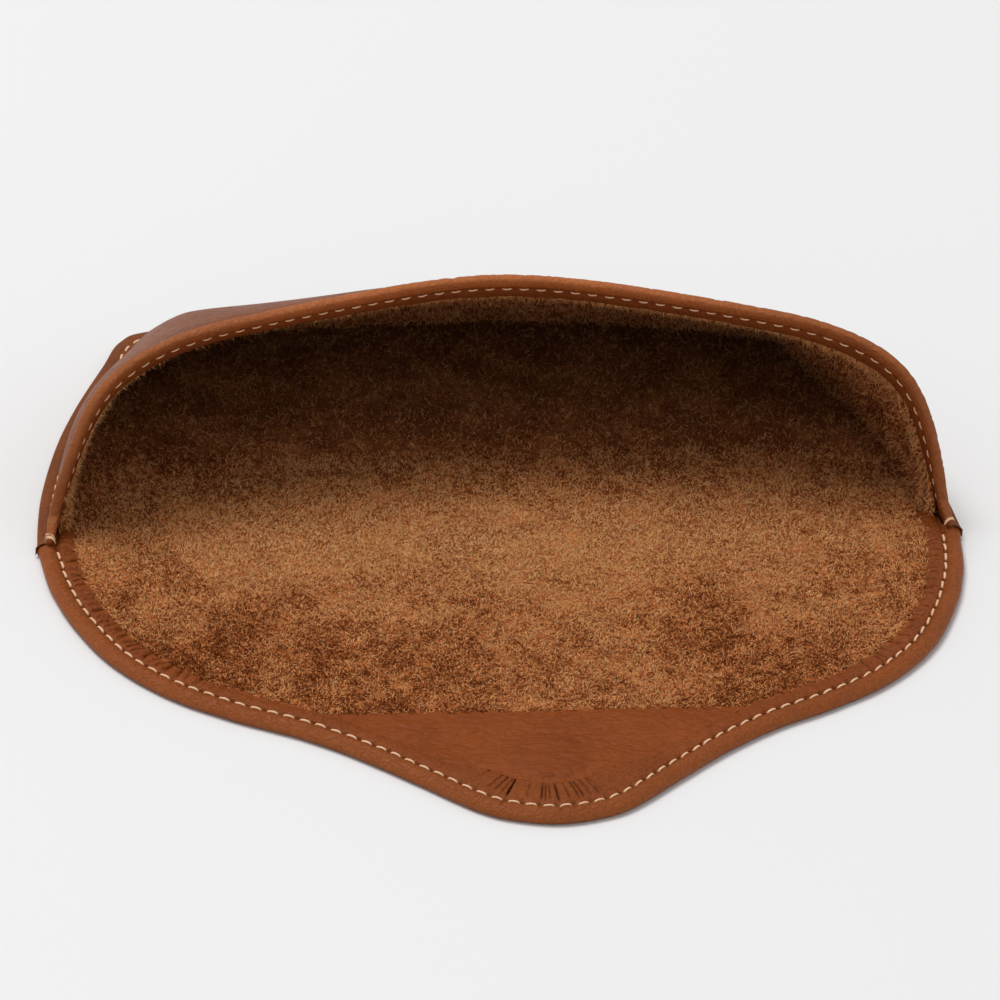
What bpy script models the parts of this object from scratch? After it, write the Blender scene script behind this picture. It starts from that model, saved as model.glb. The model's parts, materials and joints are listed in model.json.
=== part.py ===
"""Eyeglasses case: a soft leather pouch with a long flap that lies open on the table.

Frame, in metres: the origin is the middle of the fold between pouch and flap, on the resting plane. +X runs
along the mouth, +Y goes into the pouch and +Z is up. The flap lies flat towards -Y.
"""

import math

import bmesh
import bpy
import numpy as np
from mathutils import Matrix, Vector

# Sheet materials
LEATHER = 0.0011
LINING = 0.0009
FRONT_LINING = 0.0016  # thick enough to hold the magnet
GAP = 0.0003
HEM_TOP = LEATHER + GAP + LINING + GAP  # the turned hem lies over the edge of the lining
HEM_WIDTH = 0.0082
THREAD_R = 0.00025
THREAD_LIFT = 0.00005
GROOVE_WIDTH = 0.0009
GROOVE_DEPTH = 0.00062
OVERCUT = 0.001  # how far a cutting solid runs past a face

# Outlines of the right half, from the corner of the mouth to the middle
FLAP_EDGE = [
    (0.0892, 0.0),
    (0.0878, -0.0140),
    (0.0840, -0.0273),
    (0.0779, -0.0398),
    (0.0684, -0.0503),
    (0.0570, -0.0581),
    (0.0454, -0.0642),
    (0.0351, -0.0715),
    (0.0254, -0.0799),
    (0.0151, -0.0891),
    (0.0085, -0.0925),
    (0.0, -0.0940),
]
POUCH_EDGE = [
    (0.0892, 0.0006),
    (0.0870, 0.0165),
    (0.0827, 0.0338),
    (0.0776, 0.0479),
    (0.0710, 0.0625),
    (0.0668, 0.0714),
    (0.0600, 0.0752),
    (0.0350, 0.0790),
    (0.0, 0.0810),
]
RIM = [
    (0.0852, 0.0040, 0.0045),
    (0.0825, 0.0044, 0.0175),
    (0.0784, 0.0058, 0.0300),
    (0.0738, 0.0085, 0.0348),
    (0.0623, 0.0142, 0.0382),
    (0.0492, 0.0168, 0.0402),
    (0.0296, 0.0199, 0.0426),
    (0.0120, 0.0229, 0.0438),
    (0.0, 0.0238, 0.0441),
]
POUCH_POINTS = 25
FLAP_POINTS = 31
FRONT_STATIONS = 21
STITCH_INSET = 0.0038
SEAM_INSET = 0.0022
TACK_R = 0.0003
TACK_ENDS = ((0.0880, 0.0028), (0.0876, 0.0058))

# Front panel
FLANGE = 0.0036
FLANGE_MID = LEATHER + GAP + LEATHER / 2
ROLL_R = 0.00145
ROLL_RISE = 0.0014  # from the rim stitches to the middle of the roll, along the panel
ROLL_OUT = 0.0009  # and outwards
SIDE_BULGE = 0.05  # how far the wall stands out from a straight one, as a share of its length
BACK_BULGE = 0.03
CORNER_BULGE = 0.02  # added over the rear corners
CORNER_AT = 0.5  # the rear corner, as a share of the way from the mouth's corner to its middle
CORNER_SPAN = 0.2
WALL_SHARES = (0.14, 0.30, 0.48, 0.66, 0.83, 1.0)  # rows up the wall, from the foot
LINING_SHARES = (0.16, 0.34, 0.52, 0.68, 0.84, 1.0)
LINING_DROP = 0.0030  # from the middle of the roll to the edge of the lining
BARE_STATIONS = 3  # the lining starts this many stations from the mouth's corner
ROLL_POINTS = 8
RIM_THREAD_DOWN = 0.0021
RIM_THREAD_START = 2

# Flap hinges, as distances from the fold; the flap is soft leather that bends at three lines
FOLD_GAP = 0.00015  # half the slit between two lengths
BASE_FOLD = 0.0020
RIM_FOLD = 0.0455
TIP_FOLD = 0.0646
THREAD_CLEAR = 0.0014  # the threads stop this far from a hinge
FACING_EDGE = 0.0590

# Magnets
TIP_MAGNET_Y = -0.0747
TIP_MAGNET_R = 0.0090
FRONT_MAGNET_R = 0.0070
FRONT_MAGNET_DROP = 0.0100  # from the middle of the roll, down the panel
TIP_MAGNET_H = 0.0010
FRONT_MAGNET_H = 0.0008
FRONT_MAGNET_SINK = 0.00025  # the panel curves away from the flat magnet
TIP_MAGNET_SINK = 0.0002
MAGNET_PLAY = 0.0001
BOSS_R = 0.0098
BOSS_TOP = HEM_TOP + 0.0007

COLOURS = {
    "leather": ((0.46, 0.24, 0.11, 1), 0.55, 0.0),
    "suede": ((0.40, 0.19, 0.07, 1), 0.95, 0.0),
    "facing": ((0.44, 0.23, 0.10, 1), 0.50, 0.0),
    "thread": ((0.78, 0.64, 0.45, 1), 0.70, 0.0),
    "magnet": ((0.60, 0.60, 0.62, 1), 0.30, 1.0),
}


# ---------------------------------------------------------------- scene


def clear_scene():
    for item in list(bpy.data.objects):
        bpy.data.objects.remove(item)


def collection(name):
    made = bpy.data.collections.new(name)
    bpy.context.scene.collection.children.link(made)
    return made


def material(kind, name):
    """A material of the given kind, one for each sub-part."""
    colour, roughness, metallic = COLOURS[kind]
    made = bpy.data.materials.new(name)
    made.use_nodes = True
    made.diffuse_color = colour
    shader = made.node_tree.nodes["Principled BSDF"]
    shader.inputs["Base Color"].default_value = colour
    shader.inputs["Roughness"].default_value = roughness
    shader.inputs["Metallic"].default_value = metallic
    return made


def finish(item, kind):
    """Give a sub-part its material and put it in the collection of parts."""
    item.data.materials.clear()
    item.data.materials.append(material(kind, item.name))
    PARTS.objects.link(item)
    return item


def cutter(item):
    """Put a cutting solid out of sight."""
    item.hide_render = True
    item.display_type = "WIRE"
    CUTTERS.objects.link(item)
    return item


def cut(item, tool):
    """Take a cutting solid out of a part."""
    step = item.modifiers.new("cut_" + tool.name, "BOOLEAN")
    step.operation = "DIFFERENCE"
    step.solver = "EXACT"
    step.object = tool


# ---------------------------------------------------------------- curves


def half_curve(points, count):
    """Points spread evenly along the smooth curve through the given ones, which end on the plane x = 0."""
    given = np.array(points, float)
    mirrored = given[-2].copy()
    mirrored[0] *= -1
    knots = np.vstack([2 * given[0] - given[1], given, mirrored])
    t = np.linspace(0, 1, 24, endpoint=False)[:, None]
    spans = []
    for a, b, c, d in zip(knots, knots[1:], knots[2:], knots[3:]):
        bend = (2 * a - 5 * b + 4 * c - d) * t**2 + (3 * b - a - 3 * c + d) * t**3
        spans.append(0.5 * (2 * b + (c - a) * t + bend))
    dense = np.vstack(spans + [given[-1:]])
    steps = np.linalg.norm(np.diff(dense, axis=0), axis=1)
    run = np.concatenate([[0], np.cumsum(steps)])
    at = np.linspace(0, run[-1], count)
    return np.column_stack([np.interp(at, run, column) for column in dense.T])


def unit(vectors):
    return vectors / np.linalg.norm(vectors, axis=-1, keepdims=True)


def inset(half, distance):
    """A half outline moved inwards, towards the middle of the fold."""
    tangent = np.gradient(half, axis=0)
    tangent[-1] = (-1, 0)
    normal = unit(np.column_stack([tangent[:, 1], -tangent[:, 0]]))
    outwards = np.sum(normal * half, axis=1) > 0
    normal[outwards] *= -1
    return half + distance * normal


def right_side(half, near, far):
    """The part of a half outline that lies between two distances from the fold."""
    side = np.sign(half[-1, 1])
    reach = half[:, 1] * side
    inner = half[(reach > near) & (reach < far)]
    start = [(np.interp(near, reach, half[:, 0]), side * near)]
    end = [(np.interp(far, reach, half[:, 0]), side * far)] if far < reach[-1] else []
    return np.vstack([start, inner] + ([end] if end else []))


def band(half, near, far=math.inf):
    """Closed outline of a symmetric sheet between two distances from the fold."""
    right = right_side(half, near, far)
    left = right[::-1] * (-1, 1)
    if abs(right[-1, 0]) < 1e-6:
        left = left[1:]
    return np.vstack([right, left])


def both_sides(right):
    """A path from the right corner to the left one, from its right half."""
    mirror = right[::-1][1:].copy()
    mirror[:, 0] *= -1
    return np.vstack([right, mirror])


def ribbon(path, width):
    """Closed outline of a narrow strip along a flat path."""
    tangent = unit(np.gradient(path, axis=0))
    normal = np.column_stack([-tangent[:, 1], tangent[:, 0]])
    return np.vstack([path + normal * width / 2, (path - normal * width / 2)[::-1]])


# ---------------------------------------------------------------- solids


def as_mesh(item):
    """The mesh object that a curve object stands for, in world coordinates."""
    bpy.context.scene.collection.objects.link(item)
    graph = bpy.context.evaluated_depsgraph_get()
    mesh = bpy.data.meshes.new_from_object(item.evaluated_get(graph), depsgraph=graph)
    mesh.transform(item.matrix_world)
    name = item.name
    bpy.data.objects.remove(item)
    shape = bmesh.new()
    shape.from_mesh(mesh)
    bmesh.ops.remove_doubles(shape, verts=shape.verts, dist=1e-6)
    bmesh.ops.recalc_face_normals(shape, faces=shape.faces)
    shape.to_mesh(mesh)
    shape.free()
    return bpy.data.objects.new(name, mesh)


def plate(name, outline, low, high):
    """A flat sheet between two heights, with the given outline."""
    curve = bpy.data.curves.new(name, "CURVE")
    curve.dimensions = "2D"
    curve.fill_mode = "BOTH"
    curve.extrude = (high - low) / 2
    spline = curve.splines.new("POLY")
    spline.points.add(len(outline) - 1)
    for point, (x, y) in zip(spline.points, outline):
        point.co = (x, y, 0, 1)
    spline.use_cyclic_u = True
    item = bpy.data.objects.new(name, curve)
    item.location.z = (low + high) / 2
    bpy.context.view_layer.update()
    return as_mesh(item)


def disc(name, radius, height, place, tilt=0.0):
    """A round plate whose middle is at place, with its axis tilted from +Z towards +Y."""
    mesh = bpy.data.meshes.new(name)
    shape = bmesh.new()
    bmesh.ops.create_cone(
        shape, cap_ends=True, segments=32, radius1=radius, radius2=radius, depth=height
    )
    shape.to_mesh(mesh)
    shape.free()
    item = bpy.data.objects.new(name, mesh)
    item.location = place
    item.rotation_euler.x = -tilt
    for face in mesh.polygons:
        face.use_smooth = abs(face.normal.z) < 0.5
    return item


def cord(name, path, radius=THREAD_R):
    """A sewing thread, drawn as one unbroken cord along its row of stitches."""
    curve = bpy.data.curves.new(name, "CURVE")
    curve.dimensions = "3D"
    curve.bevel_depth = radius
    curve.bevel_resolution = 1
    curve.use_fill_caps = True
    spline = curve.splines.new("POLY")
    spline.points.add(len(path) - 1)
    for point, place in zip(spline.points, path):
        point.co = (*place, 1)
    return bpy.data.objects.new(name, curve)


def raised(path, height):
    """A flat path at a height above the table."""
    return np.column_stack([path, np.full(len(path), height)])


def loft(name, loops):
    """Skin over closed loops of one length. The first is capped; the last lies open on x = 0 and is mirrored."""
    shape = bmesh.new()
    rings = [[shape.verts.new(Vector(point)) for point in loop] for loop in loops]
    for one, two in zip(rings, rings[1:]):
        for i in range(len(one)):
            j = (i + 1) % len(one)
            shape.faces.new((one[j], one[i], two[i], two[j]))
    shape.faces.new(rings[0])
    mesh = bpy.data.meshes.new(name)
    shape.to_mesh(mesh)
    shape.free()
    for face in mesh.polygons:
        face.use_smooth = True
    item = bpy.data.objects.new(name, mesh)
    mirror = item.modifiers.new("mirror", "MIRROR")
    mirror.use_clip = True
    mirror.merge_threshold = 0.00002
    return item


# ---------------------------------------------------------------- front panel


def smoothstep(x):
    x = np.clip(x, 0, 1)
    return x * x * (3 - 2 * x)


def outward(along, across):
    """Unit normals of a surface that point out of the pouch."""
    normal = unit(np.cross(along, across))
    if np.mean(normal[-1, ..., 2]) < 0:
        normal = -normal
    normal[-1, ..., 0] = 0
    return unit(normal)


class FrontPanel:
    """The middle surface of the front leather, as stations from the right corner to the middle of the mouth."""

    def __init__(self):
        edge = half_curve(POUCH_EDGE, FRONT_STATIONS)
        self.edge = raised(edge, FLANGE_MID)
        self.foot = raised(inset(edge, FLANGE), FLANGE_MID)
        stitches = half_curve(RIM, FRONT_STATIONS)
        self.foot[:, 1] = np.maximum(self.foot[:, 1], stitches[0, 1] + ROLL_R)
        rise = unit(stitches - self.foot)
        out = outward(np.gradient(stitches, axis=0), rise)
        self.roll = stitches + ROLL_RISE * rise + ROLL_OUT * out
        share = np.linspace(0, 1, FRONT_STATIONS)[:, None]
        bulge = SIDE_BULGE + (BACK_BULGE - SIDE_BULGE) * smoothstep(share / 0.8)
        bulge = bulge + CORNER_BULGE * np.exp(-(((share - CORNER_AT) / CORNER_SPAN) ** 2))
        length = np.linalg.norm(self.roll - self.foot, axis=1, keepdims=True)
        self.control = (self.foot + self.roll) / 2 + 2 * bulge * length * out
        self.rise = unit(self.roll - self.control)
        self.out = outward(np.gradient(self.roll, axis=0), self.rise)
        self.length = length

    def wall(self, share):
        """Points on the wall: share 0 is the foot and 1 the middle of the roll."""
        low = (1 - share) ** 2 * self.foot
        middle = 2 * share * (1 - share) * self.control
        return low + middle + share**2 * self.roll

    def rows(self, shares, drop):
        """Rows of the wall between the foot and a distance short of the middle of the roll."""
        top = 1 - drop / self.length
        return np.stack([self.wall(share * top) for share in shares], axis=1)

    def beside_roll(self, down, out):
        """A row at a distance down the panel from the middle of the roll, and out from its middle surface."""
        return self.roll - down * self.rise + out * self.out


def skin_rows(middle, near, far):
    """The two faces of a sheet, from its rows and the distances of its faces from the middle surface."""
    along = np.gradient(middle, axis=0)
    across = np.gradient(middle, axis=1)
    normal = outward(along, across)
    return middle + near * normal, middle + far * normal


def build_front_leather(panel):
    """Front panel with its flange and its rolled rim."""
    lean = math.asin(LEATHER / 2 / ROLL_R)
    neck = ROLL_R * math.cos(lean)
    wall = panel.rows(WALL_SHARES, neck)
    middle = np.concatenate([panel.edge[:, None], panel.foot[:, None], wall], axis=1)
    outer, inner = skin_rows(middle, LEATHER / 2, -LEATHER / 2)
    turns = np.linspace(math.pi - lean, lean - math.pi, ROLL_POINTS + 2)[1:-1]
    roll = [panel.beside_roll(-ROLL_R * math.cos(a), ROLL_R * math.sin(a)) for a in turns]
    loops = np.concatenate([outer, np.stack(roll, axis=1), inner[:, ::-1]], axis=1)
    loops[-1, :, 0] = 0
    return finish(loft("front_leather", loops), "leather")


def build_front_lining(panel):
    """Suede inside the front panel, from just above the back lining to the rim stitches."""
    rows = panel.rows(LINING_SHARES, LINING_DROP)
    near = -LEATHER / 2 - GAP
    outer, inner = skin_rows(rows, near, near - FRONT_LINING)
    loops = np.concatenate([outer, inner[:, ::-1]], axis=1)[BARE_STATIONS:]
    loops[-1, :, 0] = 0
    return finish(loft("front_lining", loops), "suede")


def build_front_magnet(panel, lining):
    """Magnet between the front leather and its lining, with its recess in the lining."""
    share = 1 - FRONT_MAGNET_DROP / panel.length[-1, 0]
    place = panel.wall(share)[-1]
    ahead = panel.wall(share + 0.02)[-1] - place
    tilt = math.atan2(ahead[2], -ahead[1])
    normal = Vector((0, math.sin(tilt), math.cos(tilt)))
    face = LEATHER / 2 + GAP + FRONT_MAGNET_SINK
    middle = Vector(place) - normal * (face + FRONT_MAGNET_H / 2)
    magnet = disc("front_magnet", FRONT_MAGNET_R, FRONT_MAGNET_H, middle, tilt)
    recess_h = FRONT_MAGNET_H + OVERCUT
    deep = Vector(place) - normal * (face + FRONT_MAGNET_H + MAGNET_PLAY - recess_h / 2)
    recess = cutter(disc("front_recess", FRONT_MAGNET_R + GAP, recess_h, deep, tilt))
    cut(lining, recess)
    finish(magnet, "magnet")


def build_rim_threads(panel):
    """The two threads of the rim seam, inside and outside."""
    out = LEATHER / 2 + THREAD_R + GAP
    for name, side in (("rim_thread_inner", -1), ("rim_thread_outer", 1)):
        row = panel.beside_roll(RIM_THREAD_DOWN, side * out)
        finish(cord(name, both_sides(row[RIM_THREAD_START:])), "thread")


# ---------------------------------------------------------------- back panel


def build_back_leather(stitches):
    """Flat back panel, with a groove underneath for the seam thread."""
    edge = half_curve(POUCH_EDGE, POUCH_POINTS)
    item = plate("back_leather", band(edge, FOLD_GAP - BASE_FOLD), 0, LEATHER)
    groove = cutter(plate("seam_groove", ribbon(stitches, GROOVE_WIDTH), -OVERCUT, GROOVE_DEPTH))
    cut(item, groove)
    return finish(item, "leather")


def build_back_lining():
    """Suede on the back panel, clear of the walls of the pouch."""
    edge = inset(half_curve(POUCH_EDGE, POUCH_POINTS), FLANGE + 0.0042)
    outline = band(edge, FOLD_GAP - BASE_FOLD)
    return finish(plate("back_lining", outline, LEATHER + GAP, LEATHER + GAP + LINING), "suede")


def build_seam_threads(stitches):
    """The two threads of the seam that joins the pouch."""
    top = 2 * LEATHER + GAP + THREAD_LIFT + THREAD_R
    finish(cord("seam_thread_top", raised(stitches, top)), "thread")
    finish(cord("seam_thread_bottom", raised(stitches, THREAD_LIFT + THREAD_R)), "thread")


def build_corner_tacks():
    """Heavier back-stitches that lock the seam at the corners of the mouth."""
    height = 2 * LEATHER + GAP + THREAD_LIFT + TACK_R
    for name, side in (("corner_tack_left", -1), ("corner_tack_right", 1)):
        path = [(side * x, y, height) for x, y in TACK_ENDS]
        finish(cord(name, path, TACK_R), "thread")


# ---------------------------------------------------------------- flap


def tray(name, near, far, edge, inner):
    """One length of the flap leather: a sheet whose edges are turned over as a hem."""
    item = plate(name, band(edge, near, far), 0, HEM_TOP)
    outline = band(inner, near - OVERCUT, far + OVERCUT)
    pocket = cutter(plate(name + "_pocket", outline, LEATHER, HEM_TOP + OVERCUT))
    cut(item, pocket)
    return finish(item, "leather")


def sew(name, item, path):
    """Top and bottom thread of one row of stitches, with the groove for the bottom one."""
    top, bottom = name.format("top"), name.format("bottom")
    finish(cord(top, raised(path, HEM_TOP + THREAD_LIFT + THREAD_R)), "thread")
    finish(cord(bottom, raised(path, THREAD_LIFT + THREAD_R)), "thread")
    outline = ribbon(path, GROOVE_WIDTH)
    cut(item, cutter(plate(bottom + "_groove", outline, -OVERCUT, GROOVE_DEPTH)))


def build_flap():
    """The flap in three lengths, with its lining, its facing, its threads and its magnet."""
    edge = half_curve(FLAP_EDGE, FLAP_POINTS)
    inner = inset(edge, HEM_WIDTH)
    fill = inset(edge, HEM_WIDTH + GAP)
    stitches = inset(edge, STITCH_INSET)
    low, high = LEATHER + GAP, LEATHER + GAP + LINING
    spine = tray("spine_leather", BASE_FOLD + FOLD_GAP, RIM_FOLD - FOLD_GAP, edge, inner)
    bridge = tray("bridge_leather", RIM_FOLD + FOLD_GAP, TIP_FOLD - FOLD_GAP, edge, inner)
    tip = tray("tip_leather", TIP_FOLD + FOLD_GAP, math.inf, edge, inner)

    lengths = {
        "spine_lining": (BASE_FOLD + FOLD_GAP, RIM_FOLD - FOLD_GAP, "suede"),
        "bridge_lining": (RIM_FOLD + FOLD_GAP, FACING_EDGE - FOLD_GAP, "suede"),
        "bridge_facing": (FACING_EDGE + FOLD_GAP, TIP_FOLD - FOLD_GAP, "facing"),
    }
    for name, (near, far, kind) in lengths.items():
        finish(plate(name, band(fill, near, far), low, high), kind)

    for item, word, near, far in (
        (spine, "spine", BASE_FOLD + THREAD_CLEAR, RIM_FOLD - THREAD_CLEAR),
        (bridge, "bridge", RIM_FOLD + THREAD_CLEAR, TIP_FOLD - THREAD_CLEAR),
    ):
        right = right_side(stitches, near, far)
        sew(word + "_thread_right_{}", item, right)
        sew(word + "_thread_left_{}", item, right * (-1, 1))
    round_tip = both_sides(right_side(stitches, TIP_FOLD + THREAD_CLEAR, math.inf))
    sew("tip_thread_{}", tip, round_tip)
    build_tip_facing(fill, low, high)


def build_tip_facing(fill, low, high):
    """Smooth leather over the flap's tip, raised over the round magnet under it."""
    facing = plate("tip_facing", band(fill, TIP_FOLD + FOLD_GAP), low, high)
    boss = cutter(disc("boss", BOSS_R, BOSS_TOP - low, (0, TIP_MAGNET_Y, (BOSS_TOP + low) / 2)))
    join = facing.modifiers.new("boss", "BOOLEAN")
    join.operation = "UNION"
    join.solver = "EXACT"
    join.object = boss
    magnet_low = LEATHER + TIP_MAGNET_SINK
    magnet_mid = magnet_low + TIP_MAGNET_H / 2
    recess_h = TIP_MAGNET_H + OVERCUT
    recess_mid = magnet_low + TIP_MAGNET_H + MAGNET_PLAY - recess_h / 2
    recess = disc("tip_recess", TIP_MAGNET_R + GAP, recess_h, (0, TIP_MAGNET_Y, recess_mid))
    cut(facing, cutter(recess))
    finish(facing, "facing")
    finish(disc("tip_magnet", TIP_MAGNET_R, TIP_MAGNET_H, (0, TIP_MAGNET_Y, magnet_mid)), "magnet")


# ---------------------------------------------------------------- joints


def hinge(name, reach, parent):
    """An empty on a hinge axis, which lies across the flap in the plane of the hem's top."""
    made = bpy.data.objects.new(name, None)
    PARTS.objects.link(made)
    made.matrix_world = Matrix.Translation((0, -reach, HEM_TOP))
    if parent:
        made.parent = parent
        made.matrix_parent_inverse = Matrix.Translation(parent.location).inverted()
    return made


def hang(axis, reach, word):
    """Parent every sub-part whose name starts with the word to the empty on the axis."""
    for item in list(PARTS.objects):
        if item.type != "EMPTY" and item.name.startswith(word):
            item.parent = axis
            item.matrix_parent_inverse = Matrix.Translation((0, reach, -HEM_TOP))


def build_hinges():
    parent = None
    for name, reach, word in (
        ("fold_base_axis", BASE_FOLD, "spine"),
        ("fold_rim_axis", RIM_FOLD, "bridge"),
        ("fold_tip_axis", TIP_FOLD, "tip"),
    ):
        parent = hinge(name, reach, parent)
        hang(parent, reach, word)


clear_scene()
PARTS = collection("eyeglasses_case")
CUTTERS = collection("cutters")
front = FrontPanel()
seam = half_curve(POUCH_EDGE, POUCH_POINTS)
seam = both_sides(inset(seam, SEAM_INSET)[2:])
build_back_leather(seam)
build_back_lining()
build_front_leather(front)
build_front_magnet(front, build_front_lining(front))
build_rim_threads(front)
build_seam_threads(seam)
build_corner_tacks()
build_flap()
build_hinges()
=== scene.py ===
"""The looks of a soft leather eyeglasses case that lies open on its back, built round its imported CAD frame.

Metres, +Z up. The pouch lies behind the fold (+Y), the flap in front of it (-Y), and x = 0 is the middle.
"""

import itertools
import json
import math

import bpy
import numpy as np
from mathutils import Matrix, Vector


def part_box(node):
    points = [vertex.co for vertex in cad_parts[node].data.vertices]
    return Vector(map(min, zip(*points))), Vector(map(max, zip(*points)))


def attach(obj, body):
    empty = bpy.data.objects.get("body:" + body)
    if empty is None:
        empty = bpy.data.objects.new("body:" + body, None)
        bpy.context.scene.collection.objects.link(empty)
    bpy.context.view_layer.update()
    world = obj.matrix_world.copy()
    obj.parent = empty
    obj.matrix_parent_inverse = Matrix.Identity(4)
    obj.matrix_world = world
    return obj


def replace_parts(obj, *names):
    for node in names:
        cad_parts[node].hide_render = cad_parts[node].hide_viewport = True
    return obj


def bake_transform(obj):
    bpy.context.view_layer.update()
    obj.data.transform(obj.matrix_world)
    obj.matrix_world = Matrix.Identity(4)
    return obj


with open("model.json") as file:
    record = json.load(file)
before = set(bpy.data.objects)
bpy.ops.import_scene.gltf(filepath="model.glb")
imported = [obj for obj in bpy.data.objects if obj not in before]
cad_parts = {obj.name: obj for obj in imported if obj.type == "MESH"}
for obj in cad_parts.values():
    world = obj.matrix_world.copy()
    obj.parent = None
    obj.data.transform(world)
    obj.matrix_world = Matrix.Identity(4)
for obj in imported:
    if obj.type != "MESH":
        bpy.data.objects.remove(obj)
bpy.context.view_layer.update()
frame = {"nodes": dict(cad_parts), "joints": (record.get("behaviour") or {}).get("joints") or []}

# ---------------------------------------------------------------- measures taken from the CAD

JOINTS = {joint["name"]: joint["pos_m"] for joint in frame["joints"]}
HEM_TOP = JOINTS["flap_fold_base"][2]
MAGNET_LOW, MAGNET_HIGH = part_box("tip_magnet")
HALF_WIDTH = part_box("spine_leather")[1].x
FLAP_LENGTH = -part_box("tip_leather")[0].y
POUCH_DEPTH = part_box("back_leather")[1].y
FACING_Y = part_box("bridge_facing")[1].y
MAGNET_Y = (MAGNET_LOW.y + MAGNET_HIGH.y) / 2
MAGNET_R = (MAGNET_HIGH.x - MAGNET_LOW.x) / 2
ROLL_TOP = 0.0030  # how far the top of the roll stands above the middle of the rim
RIM_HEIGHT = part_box("front_leather")[1].z - ROLL_TOP

# Outlines of the right half, from the corner of the mouth to the middle, as shares of the CAD's sizes
FLAP_OUTLINE = (
    (1.0, 0.0),
    (0.984, 0.149),
    (0.942, 0.290),
    (0.873, 0.423),
    (0.767, 0.535),
    (0.639, 0.618),
    (0.509, 0.683),
    (0.393, 0.761),
    (0.285, 0.850),
    (0.169, 0.948),
    (0.095, 0.984),
    (0.0, 1.0),
)
POUCH_OUTLINE = (
    (1.0, 0.0),
    (0.975, 0.204),
    (0.927, 0.417),
    (0.870, 0.591),
    (0.796, 0.772),
    (0.749, 0.881),
    (0.673, 0.928),
    (0.392, 0.975),
    (0.0, 1.0),
)
RIM_OUTLINE = (
    (0.955, 0.049, 0.102),
    (0.925, 0.054, 0.397),
    (0.879, 0.072, 0.680),
    (0.827, 0.105, 0.789),
    (0.698, 0.175, 0.866),
    (0.552, 0.207, 0.912),
    (0.332, 0.246, 0.966),
    (0.135, 0.283, 0.993),
    (0.0, 0.294, 1.0),
)

# Leather, hem and seams
LEATHER = 0.0011
HALF_LEATHER = LEATHER / 2
HEM_WIDTH = 0.0072
HEM_INSIDE = HEM_WIDTH + 0.0004
TIP_HEM_WIDTH = 0.0110
FOLD_R = HEM_TOP / 2
STITCH_INSET = 0.0035
SEAM_INSET = 0.0022
SUEDE_LEVEL = 0.00225
FACING_LEVEL = 0.00245
UNDER_LEVEL = 0.00005  # height of the flat undersides, well inside the hem
UNDER_GAP = 0.00002  # height of the undersides near the edge
LOWEST = 0.0003  # the leather's ends at the mouth stay above this

# Stitches
STITCH_PITCH = 0.00328
STITCH_LENGTH = 0.0024
STITCH_END = 0.0018  # the flap's stitches stop this far from the ends of their line
THREAD_R = 0.00027
RIM_THREAD_R = 0.00019
OUTER_THREAD_R = 0.00021
TACK_THREAD_R = 0.00017
FLAP_STITCH_SINK = 0.00048  # how far a stitch's ends lie below its middle
POUCH_STITCH_SINK = 0.0006
TACK_SINK = 0.0011
TOP_STITCH_LEVEL = HEM_TOP - 0.00012
UNDER_STITCH_LEVEL = 0.00030
STITCH_WANDER = 0.00005
STITCH_RINGS = 13
STITCH_SIDES = 9
STITCH_FACES = (STITCH_RINGS - 1) * STITCH_SIDES

# Suede fibres
FIBRE_FACES = 10
FIBRE_POINTS = 7
FIBRE_R = 0.00009
SHORT_FIBRE = 0.00078
LONG_FIBRE = 0.00110
REAR_FIBRE = 0.0012
WALL_FIBRE = 0.0014
RIM_FIBRE = 0.0020
SUEDE_SHEET_SHADE = -0.3  # painted shade: the sheet between the fibres is darker than they are
DEEP_SHADE = 0.45  # how dark the floor of the pouch gets, for the shadow of what lies in it

# Front panel
FLANGE = 0.0036
FLANGE_MID = 0.00195
ROLL_R = 0.00128
ROLL_RISE = 0.0016
ROLL_OUT = 0.0009
SIDE_BULGE = 0.05
BACK_BULGE = 0.03
CORNER_BULGE = 0.02
RIGHT_CORNER_SAG = 0.035
CORNER_AT = 0.5
CORNER_SPAN = 0.2
RIM_STITCH_DROP = 0.0017
OUTER_STITCH_DROP = 0.0021
RIM_HEM_DROP = 0.0041
ROLL_LIMIT = 0.55  # stitches beside the rim stay within this share of the wall's length
STRIP_LIMIT = 0.7  # and so does the rim's turned hem
RIM_FLARE = math.radians(32)  # how far the rim is turned up from the line of the wall
RIM_NECK = 0.0045  # how far below the roll the wall starts to turn up
RIM_ROUNDING = 260  # passes that round the rim's corners
STRIP_DEPTH = 0.00092  # from the middle of the rim to the face of its turned hem

# The flap is cut into three visual lengths, at these two places along it
FIRST_CUT = -0.025
SECOND_CUT = -0.055

# ---------------------------------------------------------------- numbers


NOISE_CELLS = 32  # the noise repeats after so many humps
CURVE_STEPS = 24  # points between two given ones when a curve is drawn
TINY = 1e-12


def unit(vectors):
    return vectors / np.maximum(np.linalg.norm(vectors, axis=-1, keepdims=True), TINY)


def smooth(value):
    """From 0 to 1 with soft ends, as the value goes from 0 to 1."""
    value = np.clip(value, 0, 1)
    return value * value * (3 - 2 * value)


def rising(value, start, over):
    """From 0 to 1 as the value goes up from the start, over the given length."""
    return smooth((value - start) / over)


def hump(value, middle, width):
    return np.exp(-(((value - middle) / width) ** 2))


def ridge(value, shape):
    """A hump of the given height, middle and width. A negative height makes a groove."""
    height, middle, width = shape
    return height * hump(value, middle, width)


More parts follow.
